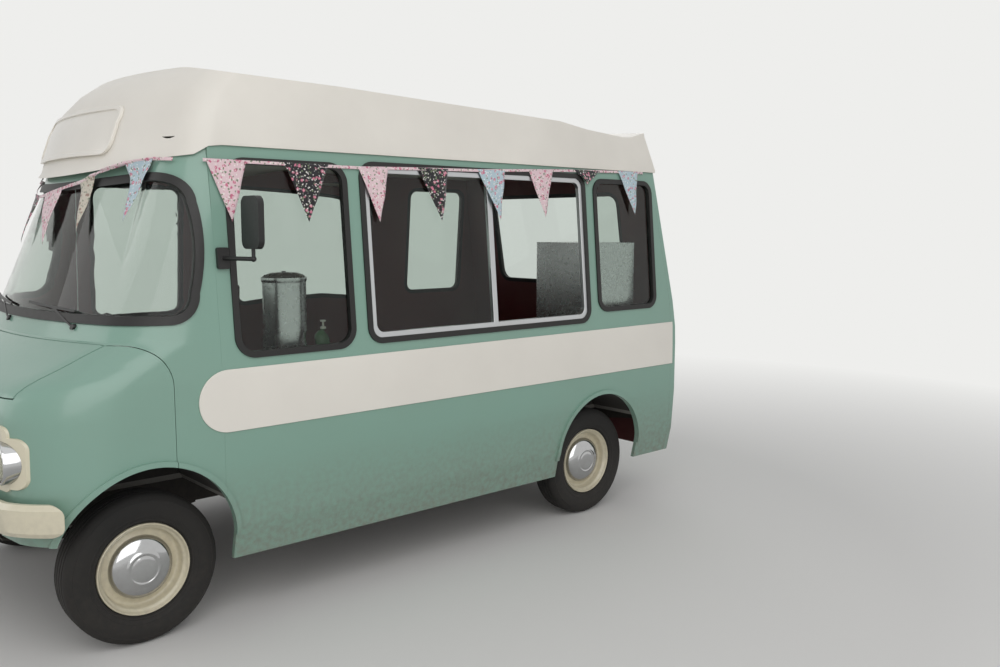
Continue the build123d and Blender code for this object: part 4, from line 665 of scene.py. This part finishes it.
class VAN_OT_bunting(bpy.types.Operator):
    """Hang the bunting: a folded tape and a soft flag at each place"""
    bl_idname = "van.bunting"
    bl_label = "Bunting"

    def execute(self, context):
        random.seed(7)
        sizes = context.scene.van_bunting
        tree = wall_tree()
        line = [(0, NOSE_Y + row[0], row[3]) for row in SIDE_FLAGS]
        line.append((0, NOSE_Y + SIDE_FLAGS[-1][1] + 0.05, 2.070))
        line.insert(0, (0, NOSE_Y + SIDE_FLAGS[0][0] - 0.01, 2.012))
        self.tape("bunting_tape_side", tree, line, (-1, 0, 0), sizes.tape)
        line = [(x, 0, z) for x, z in FRONT_LINE]
        self.tape("bunting_tape_front", tree, line, (0, 1, 0), sizes.tape)
        scale = sizes.drop / FLAG_DROP
        for index, (start, end, tip, top, drop, cloth) in enumerate(SIDE_FLAGS):
            corners = [(0, NOSE_Y + start, top), (0, NOSE_Y + end, top), (0, NOSE_Y + tip, top - drop * scale)]
            self.flag(f"flag_side_{index + 1}", tree, corners, (-1, 0, 0), cloth, "bunting_tape_side",
                      curl=drop < 0.2)
        for index, (left, right, tip, cloth) in enumerate(FRONT_FLAGS):
            corners = [(left[0], 0, left[1]), (right[0], 0, right[1]),
                       (tip[0], 0, left[1] - (left[1] - tip[1]) * scale)]
            self.flag(f"flag_front_{index + 1}", tree, corners, (0, 1, 0), cloth, "bunting_tape_front")
        return {"FINISHED"}

    def tape(self, name, tree, line, toward, width):
        """A strip of doubled tape along a line of points."""
        bm = bmesh.new()
        rows = []
        for first, second in zip(line, line[1:]):
            steps = max(1, round((Vector(second) - Vector(first)).length / 0.03))
            rows += [Vector(first).lerp(Vector(second), step / steps) for step in range(steps)]
        rows.append(Vector(line[-1]))
        upper = [bm.verts.new(lay(tree, point, toward, TAPE_PROUD)) for point in rows]
        edges = [bm.edges.new(pair) for pair in zip(upper, upper[1:])]
        length = sum(edge.calc_length() for edge in edges)
        for _ in range(3):
            made = bmesh.ops.extrude_edge_only(bm, edges=edges)["geom"]
            edges = [item for item in made if isinstance(item, bmesh.types.BMEdge)
                     and all(vertex in made for vertex in item.verts)]
            for vertex in (item for item in made if isinstance(item, bmesh.types.BMVert)):
                vertex.co.z -= width / 3
        for vertex in bm.verts:
            vertex.co = lay(tree, vertex.co, toward, TAPE_PROUD)
        self.make_cloth(name, bm, toward, "cotton_pink", (length, width), None, [], 0.0012)

    def flag(self, name, tree, corners, toward, cloth, tape, curl=False):
        """A triangle of cotton that hangs with a few soft folds and a lifting tip."""
        bm = bmesh.new()
        bm.faces.new([bm.verts.new(corner) for corner in corners])
        bmesh.ops.subdivide_edges(bm, edges=bm.edges[:], cuts=18, use_grid_fill=True)
        bmesh.ops.triangulate(bm, faces=[face for face in bm.faces if len(face.verts) > 4])
        first, second, tip = (Vector(corner) for corner in corners)
        across, drop = (second - first).length, first.z - tip.z
        phase, folds, lean = random.uniform(0, 6.28), random.uniform(1.6, 2.6), random.uniform(-0.2, 0.2)
        for vertex in bm.verts:
            along = (vertex.co - first).dot((second - first).normalized()) / across
            down = (first.z - vertex.co.z) / drop
            fold = math.sin(phase + along * folds * math.tau * (1 - 0.4 * down) + lean * down * 9)
            proud = FLAG_PROUD + 0.0035 * down + 0.0045 * (fold + 1) * min(1, down * 2.2)
            if curl:
                proud += 0.006 * math.sin(min(1, down) * math.pi)
            vertex.co = lay(tree, vertex.co, toward, proud)
        for _ in range(4):
            bmesh.ops.smooth_vert(bm, verts=bm.verts, factor=0.5, use_axis_x=bool(toward[0]),
                                  use_axis_y=bool(toward[1]), use_axis_z=False)
        self.make_cloth(name, bm, toward, cloth, (across, drop), 0.5 * across * drop, [tape], 0.0008)

    def make_cloth(self, name, bm, toward, cloth, flat, area, rests_on, thick):
        """Finishes a cloth's mesh as a closed, thin sheet."""
        bmesh.ops.recalc_face_normals(bm, faces=bm.faces)
        if sum(face.normal.dot(Vector(toward)) for face in bm.faces) > 0:
            bmesh.ops.reverse_faces(bm, faces=bm.faces)
        for face in bm.faces:
            face.smooth = True
        mesh = finished_mesh(name, bm)
        piece = add_piece(name, mesh, "body", [material(cloth)], ["bunting"])
        wall = piece.modifiers.new("Cloth", "SOLIDIFY")
        wall.thickness = thick
        wall.offset = 1.0


def box_piece(name, low, high, body, slot, *, bevel=0.004, segments=3, finish=None, node=None):
    """A block with rounded edges."""
    bm = bmesh.new()
    bmesh.ops.create_cube(bm, size=1.0)
    low, high = Vector(low), Vector(high)
    size = Matrix.Diagonal((*(high - low), 1.0))
    bmesh.ops.transform(bm, matrix=Matrix.Translation((low + high) / 2) @ size, verts=bm.verts)
    bmesh.ops.bevel(bm, geom=bm.edges[:], offset=bevel, affect="EDGES", segments=segments, profile=0.5,
                    material=-1)
    smooth_by_angle(bm, 40.0)
    add_piece(name, finished_mesh(name, bm), body, [material(finish or slot)], [node] if node else ())


def cushion(name, low, high, lean, channels, upright):
    """A padded block, crowned and sewn in channels, leaned by an angle about its low front edge."""
    bm = bmesh.new()
    bmesh.ops.create_cube(bm, size=1.0)
    bmesh.ops.subdivide_edges(bm, edges=bm.edges[:], cuts=23, use_grid_fill=True)
    low, high = Vector(low), Vector(high)
    size = high - low
    out = 1 if upright else 2
    wide, long = 0, 3 - out
    for vertex in bm.verts:
        unit = vertex.co * 2
        edge = (1 - unit[wide] ** 4) * (1 - unit[long] ** 4)
        face = unit[out]
        sew = abs(math.sin(unit[wide] * math.pi * channels / 2)) ** 0.45
        swell = edge * (0.45 + 0.55 * sew)
        co = Vector(vertex.co)
        co[out] = face / 2 * (0.66 + 0.34 * swell ** 0.5) if (face > 0) != upright else face / 2 * 0.9
        for axis in (wide, long):
            co[axis] *= 0.93 + 0.05 * (1 - abs(face) ** 2)
        corner = max(0.0, abs(unit[wide]) + abs(unit[long]) - 1.55)
        co[wide] *= 1 - 0.10 * corner
        co[long] *= 1 - 0.10 * corner
        vertex.co = Vector((co.x * size.x, co.y * size.y, co.z * size.z)) + (low + high) / 2
    foot = Vector(((low.x + high.x) / 2, low.y, low.z))
    bmesh.ops.rotate(bm, cent=foot, matrix=Matrix.Rotation(math.radians(-lean), 3, "X"), verts=bm.verts)
    bmesh.ops.recalc_face_normals(bm, faces=bm.faces)
    for face in bm.faces:
        face.smooth = True
    mesh = finished_mesh(name, bm)
    piece = add_piece(name, mesh, "body", [material("seat_vinyl")], ["driver_seat"])
    rounding = piece.modifiers.new("Rounding", "SUBSURF")
    rounding.levels = rounding.render_levels = 1


# Middle of each mirror's head: across, behind the nose, and height
MIRROR_HEADS = {"right": (1.110, 0.940, 1.750), "left": (-1.110, 0.810, 1.750)}
# Half the glass's width and height, its thickness, and its place behind the head's middle
GLASS_HALF_X, GLASS_HALF_Z, GLASS_THICK, GLASS_BACK = 0.065, 0.097, 0.003, 0.0115


class VAN_OT_mirrors(bpy.types.Operator):
    """Set the glasses in the door mirrors"""
    bl_idname = "van.mirrors"
    bl_label = "Mirror glasses"

    def execute(self, context):
        for name, (x, back, z) in MIRROR_HEADS.items():
            y = NOSE_Y + back + GLASS_BACK
            box_piece("mirror_glass_" + name, (x - GLASS_HALF_X, y, z - GLASS_HALF_Z),
                      (x + GLASS_HALF_X, y + GLASS_THICK, z + GLASS_HALF_Z), "body", "chrome", bevel=0.0012)
        return {"FINISHED"}


# Points of radius and height over the counter, and for the tap of radius and reach
URN_PROFILE = [
    (0.0, 0.0), (0.096, 0.0), (0.1035, 0.006), (0.1035, 0.030), (0.100, 0.036), (0.100, 0.380), (0.1035, 0.386),
    (0.1045, 0.394), (0.1035, 0.402), (0.097, 0.404), (0.086, 0.414), (0.060, 0.422), (0.030, 0.424),
    (0.016, 0.4245), (0.0, 0.4245)]
KNOB_PROFILE = [(0.0, 0.4245), (0.010, 0.4245), (0.010, 0.428), (0.0, 0.4296)]
TAP_PROFILE = [(0.0, 0.0), (0.013, 0.0), (0.013, 0.010), (0.008, 0.014), (0.008, 0.040), (0.012, 0.044),
               (0.012, 0.048), (0.0, 0.048)]
BOTTLE_PROFILE = [(0.0, 0.0), (0.030, 0.0), (0.034, 0.004), (0.034, 0.110), (0.030, 0.124), (0.016, 0.138),
                  (0.012, 0.142), (0.012, 0.152), (0.0, 0.152)]
PUMP_PROFILE = [(0.0, 0.152), (0.014, 0.152), (0.014, 0.160), (0.005, 0.164), (0.005, 0.184), (0.014, 0.186),
                (0.014, 0.192), (0.0, 0.194)]


class VAN_OT_galley(bpy.types.Operator):
    """Make the urn and the soap bottle on the counter"""
    bl_idname = "van.galley"
    bl_label = "Galley"

    def execute(self, context):
        low, high = (Vector(corner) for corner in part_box("steel_urn"))
        x, y, foot = high.x - 0.105, (low.y + high.y) / 2, low.z
        turned("urn_vessel", URN_PROFILE, (x, y, foot), (0, 0, 1), "body", "steel", "steel_urn", steps=72)
        turned("urn_knob", KNOB_PROFILE, (x, y, foot), (0, 0, 1), "body", "black_plastic", steps=32)
        turned("urn_tap", TAP_PROFILE, (x - 0.099, y, foot + 0.060), (-1, 0, 0), "body", "black_plastic",
               steps=32)
        spot = (x + 0.020, y + 0.190, foot)
        turned("soap_bottle", BOTTLE_PROFILE, spot, (0, 0, 1), "body", "glass", steps=48,
               finishes=[material("soap_green")])
        turned("soap_pump", PUMP_PROFILE, spot, (0, 0, 1), "body", "sign_white", steps=32)
        return {"FINISHED"}


class VAN_OT_seat(bpy.types.Operator):
    """Make the driver's seat: a box, a cushion and a back"""
    bl_idname = "van.seat"
    bl_label = "Driver's seat"

    def execute(self, context):
        low, high = (Vector(corner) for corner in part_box("driver_seat"))
        box_piece("seat_box", (low.x + 0.02, low.y + 0.02, low.z), (high.x - 0.02, low.y + 0.46, low.z + 0.244),
                  "body", "seat_vinyl", bevel=0.01, finish="black_plastic", node="driver_seat")
        cushion("seat_cushion", (low.x, low.y, low.z + 0.246), (high.x, low.y + 0.46, low.z + 0.37),
                0, 6, False)
        cushion("seat_back", (low.x + 0.005, low.y + 0.395, low.z + 0.345),
                (high.x - 0.005, low.y + 0.485, high.z - 0.005), 8, 6, True)
        return {"FINISHED"}


class VAN_OT_materials(bpy.types.Operator):
    """Make the finishes"""
    bl_idname = "van.materials"
    bl_label = "Finishes"

    def execute(self, context):
        make_materials(context.scene.van_colours)
        return {"FINISHED"}


# The camera, solved from the photo: place in metres, angles in degrees and focal length in its pixels
CAMERA_PLACE = (4.572, -2.7935, 1.737)
CAMERA_YAW = 47.98
CAMERA_PITCH = -6.65
CAMERA_ROLL = 0.16
FOCAL_PIXELS = 919.1
# What is seen behind the van, and the even light that falls on it
BACKGROUND = rgb(238, 238, 236)
SKY_LIGHT = rgb(150, 152, 156)
PHOTO_WIDTH = 1000
# Distances from the middle over which the floor fades into the background
FADE_START, FADE_END = 3.2, 8.0
# Name, place, width and height, and power of each light; all look at the middle of the van
LIGHTS = [
    ("key", (7.2, -3.2, 5.5), (9.0, 9.0), 400), ("top", (0.5, -0.5, 7.0), (6.0, 6.0), 30),
    ("front_fill", (-3.0, -7.0, 3.0), (5.0, 4.0), 65), ("rear_fill", (-4.0, 6.5, 4.0), (6.0, 6.0), 120)]
LIGHT_TARGET = (0, 0, 1.0)


def add_light(name, place, size, power):
    """A soft rectangular light."""
    light = bpy.data.lights.new(name, "AREA")
    light.shape = "RECTANGLE"
    light.size, light.size_y = size
    light.energy = power
    lamp = bpy.data.objects.new(name, light)
    lamp.location = place
    lamp.rotation_euler = (Vector(LIGHT_TARGET) - Vector(place)).to_track_quat("-Z", "Y").to_euler()
    lamp.visible_camera = lamp.visible_transmission = False
    bpy.context.collection.objects.link(lamp)


def seen_as_background(tree):
    """A mask of what the camera sees straight, through glass or in metal."""
    path = tree.nodes.new("ShaderNodeLightPath")
    seen = maths(tree, "MAXIMUM", path.outputs["Is Camera Ray"], path.outputs["Is Glossy Ray"])
    return maths(tree, "MAXIMUM", seen, path.outputs["Is Transmission Ray"])


class VAN_OT_stage(bpy.types.Operator):
    """Lay the floor and place the lights and the camera"""
    bl_idname = "van.stage"
    bl_label = "Stage"

    def execute(self, context):
        scene = context.scene
        scene.view_settings.view_transform = "Standard"
        bm = bmesh.new()
        bmesh.ops.create_grid(bm, x_segments=1, y_segments=1, size=30.0)
        ground = bpy.data.objects.new("studio_floor", finished_mesh("floor_plane", bm))
        context.collection.objects.link(ground)
        tree, shader, place = start_material("studio_floor")
        shader.inputs["Base Color"].default_value = (*rgb(226, 224, 220), 1.0)
        shader.inputs["Roughness"].default_value = 0.9
        reach = tree.nodes.new("ShaderNodeVectorMath")
        reach.operation = "LENGTH"
        tree.links.new(place, reach.inputs[0])
        far = ramp(tree, reach.outputs["Value"], FADE_START, FADE_END)
        far = maths(tree, "MULTIPLY", far, seen_as_background(tree))
        glow = tree.nodes.new("ShaderNodeEmission")
        glow.inputs["Color"].default_value = (*BACKGROUND, 1.0)
        blend = tree.nodes.new("ShaderNodeMixShader")
        for socket, value in zip(blend.inputs, (far, shader.outputs[0], glow.outputs[0])):
            tree.links.new(value, socket)
        tree.links.new(blend.outputs[0], tree.nodes["Material Output"].inputs["Surface"])
        ground.data.materials.append(material("studio_floor"))

        world = bpy.data.worlds.new("studio")
        scene.world = world
        world.use_nodes = True
        tree = world.node_tree
        back = tree.nodes["Background"]
        back.inputs["Strength"].default_value = 1.0
        seen = seen_as_background(tree)
        tree.links.new(mixed(tree, seen, SKY_LIGHT, BACKGROUND), back.inputs["Color"])

        for light in LIGHTS:
            add_light(*light)

        camera = bpy.data.cameras.new("camera")
        camera.sensor_width = 36.0
        camera.lens = FOCAL_PIXELS / PHOTO_WIDTH * camera.sensor_width
        holder = bpy.data.objects.new("camera", camera)
        turn = (Matrix.Rotation(math.radians(CAMERA_YAW), 4, "Z")
                @ Matrix.Rotation(math.radians(90 + CAMERA_PITCH), 4, "X")
                @ Matrix.Rotation(math.radians(CAMERA_ROLL), 4, "Z"))
        holder.matrix_world = Matrix.Translation(CAMERA_PLACE) @ turn
        context.collection.objects.link(holder)
        scene.camera = holder
        return {"FINISHED"}


class VAN_PT_panel(bpy.types.Panel):
    """Lists the van's operators"""
    bl_idname = "VAN_PT_panel"
    bl_label = "Ice cream van"
    bl_space_type = "VIEW_3D"
    bl_region_type = "UI"
    bl_category = "Van"

    def draw(self, context):
        for item in OPERATORS:
            self.layout.operator(item.bl_idname)
        for name in VanColours.__annotations__:
            self.layout.prop(context.scene.van_colours, name)


GROUPS = (VanColours, BuntingSizes)
OPERATORS = (VAN_OT_materials, VAN_OT_skins, VAN_OT_wheels, VAN_OT_lamps, VAN_OT_bunting, VAN_OT_mirrors,
             VAN_OT_galley, VAN_OT_seat, VAN_OT_stage)
CLASSES = (*GROUPS, *OPERATORS, VAN_PT_panel)


def register():
    for item in CLASSES:
        bpy.utils.register_class(item)
    bpy.types.Scene.van_colours = bpy.props.PointerProperty(type=VanColours)
    bpy.types.Scene.van_bunting = bpy.props.PointerProperty(type=BuntingSizes)


def unregister():
    del bpy.types.Scene.van_bunting
    del bpy.types.Scene.van_colours
    for item in reversed(CLASSES):
        bpy.utils.unregister_class(item)


def main():
    register()
    bpy.ops.van.materials()
    bpy.ops.van.skins()
    bpy.ops.van.wheels()
    bpy.ops.van.lamps()
    bpy.ops.van.bunting()
    bpy.ops.van.mirrors()
    bpy.ops.van.galley()
    bpy.ops.van.seat()
    bpy.ops.van.stage()


if __name__ == "__main__":
    main()
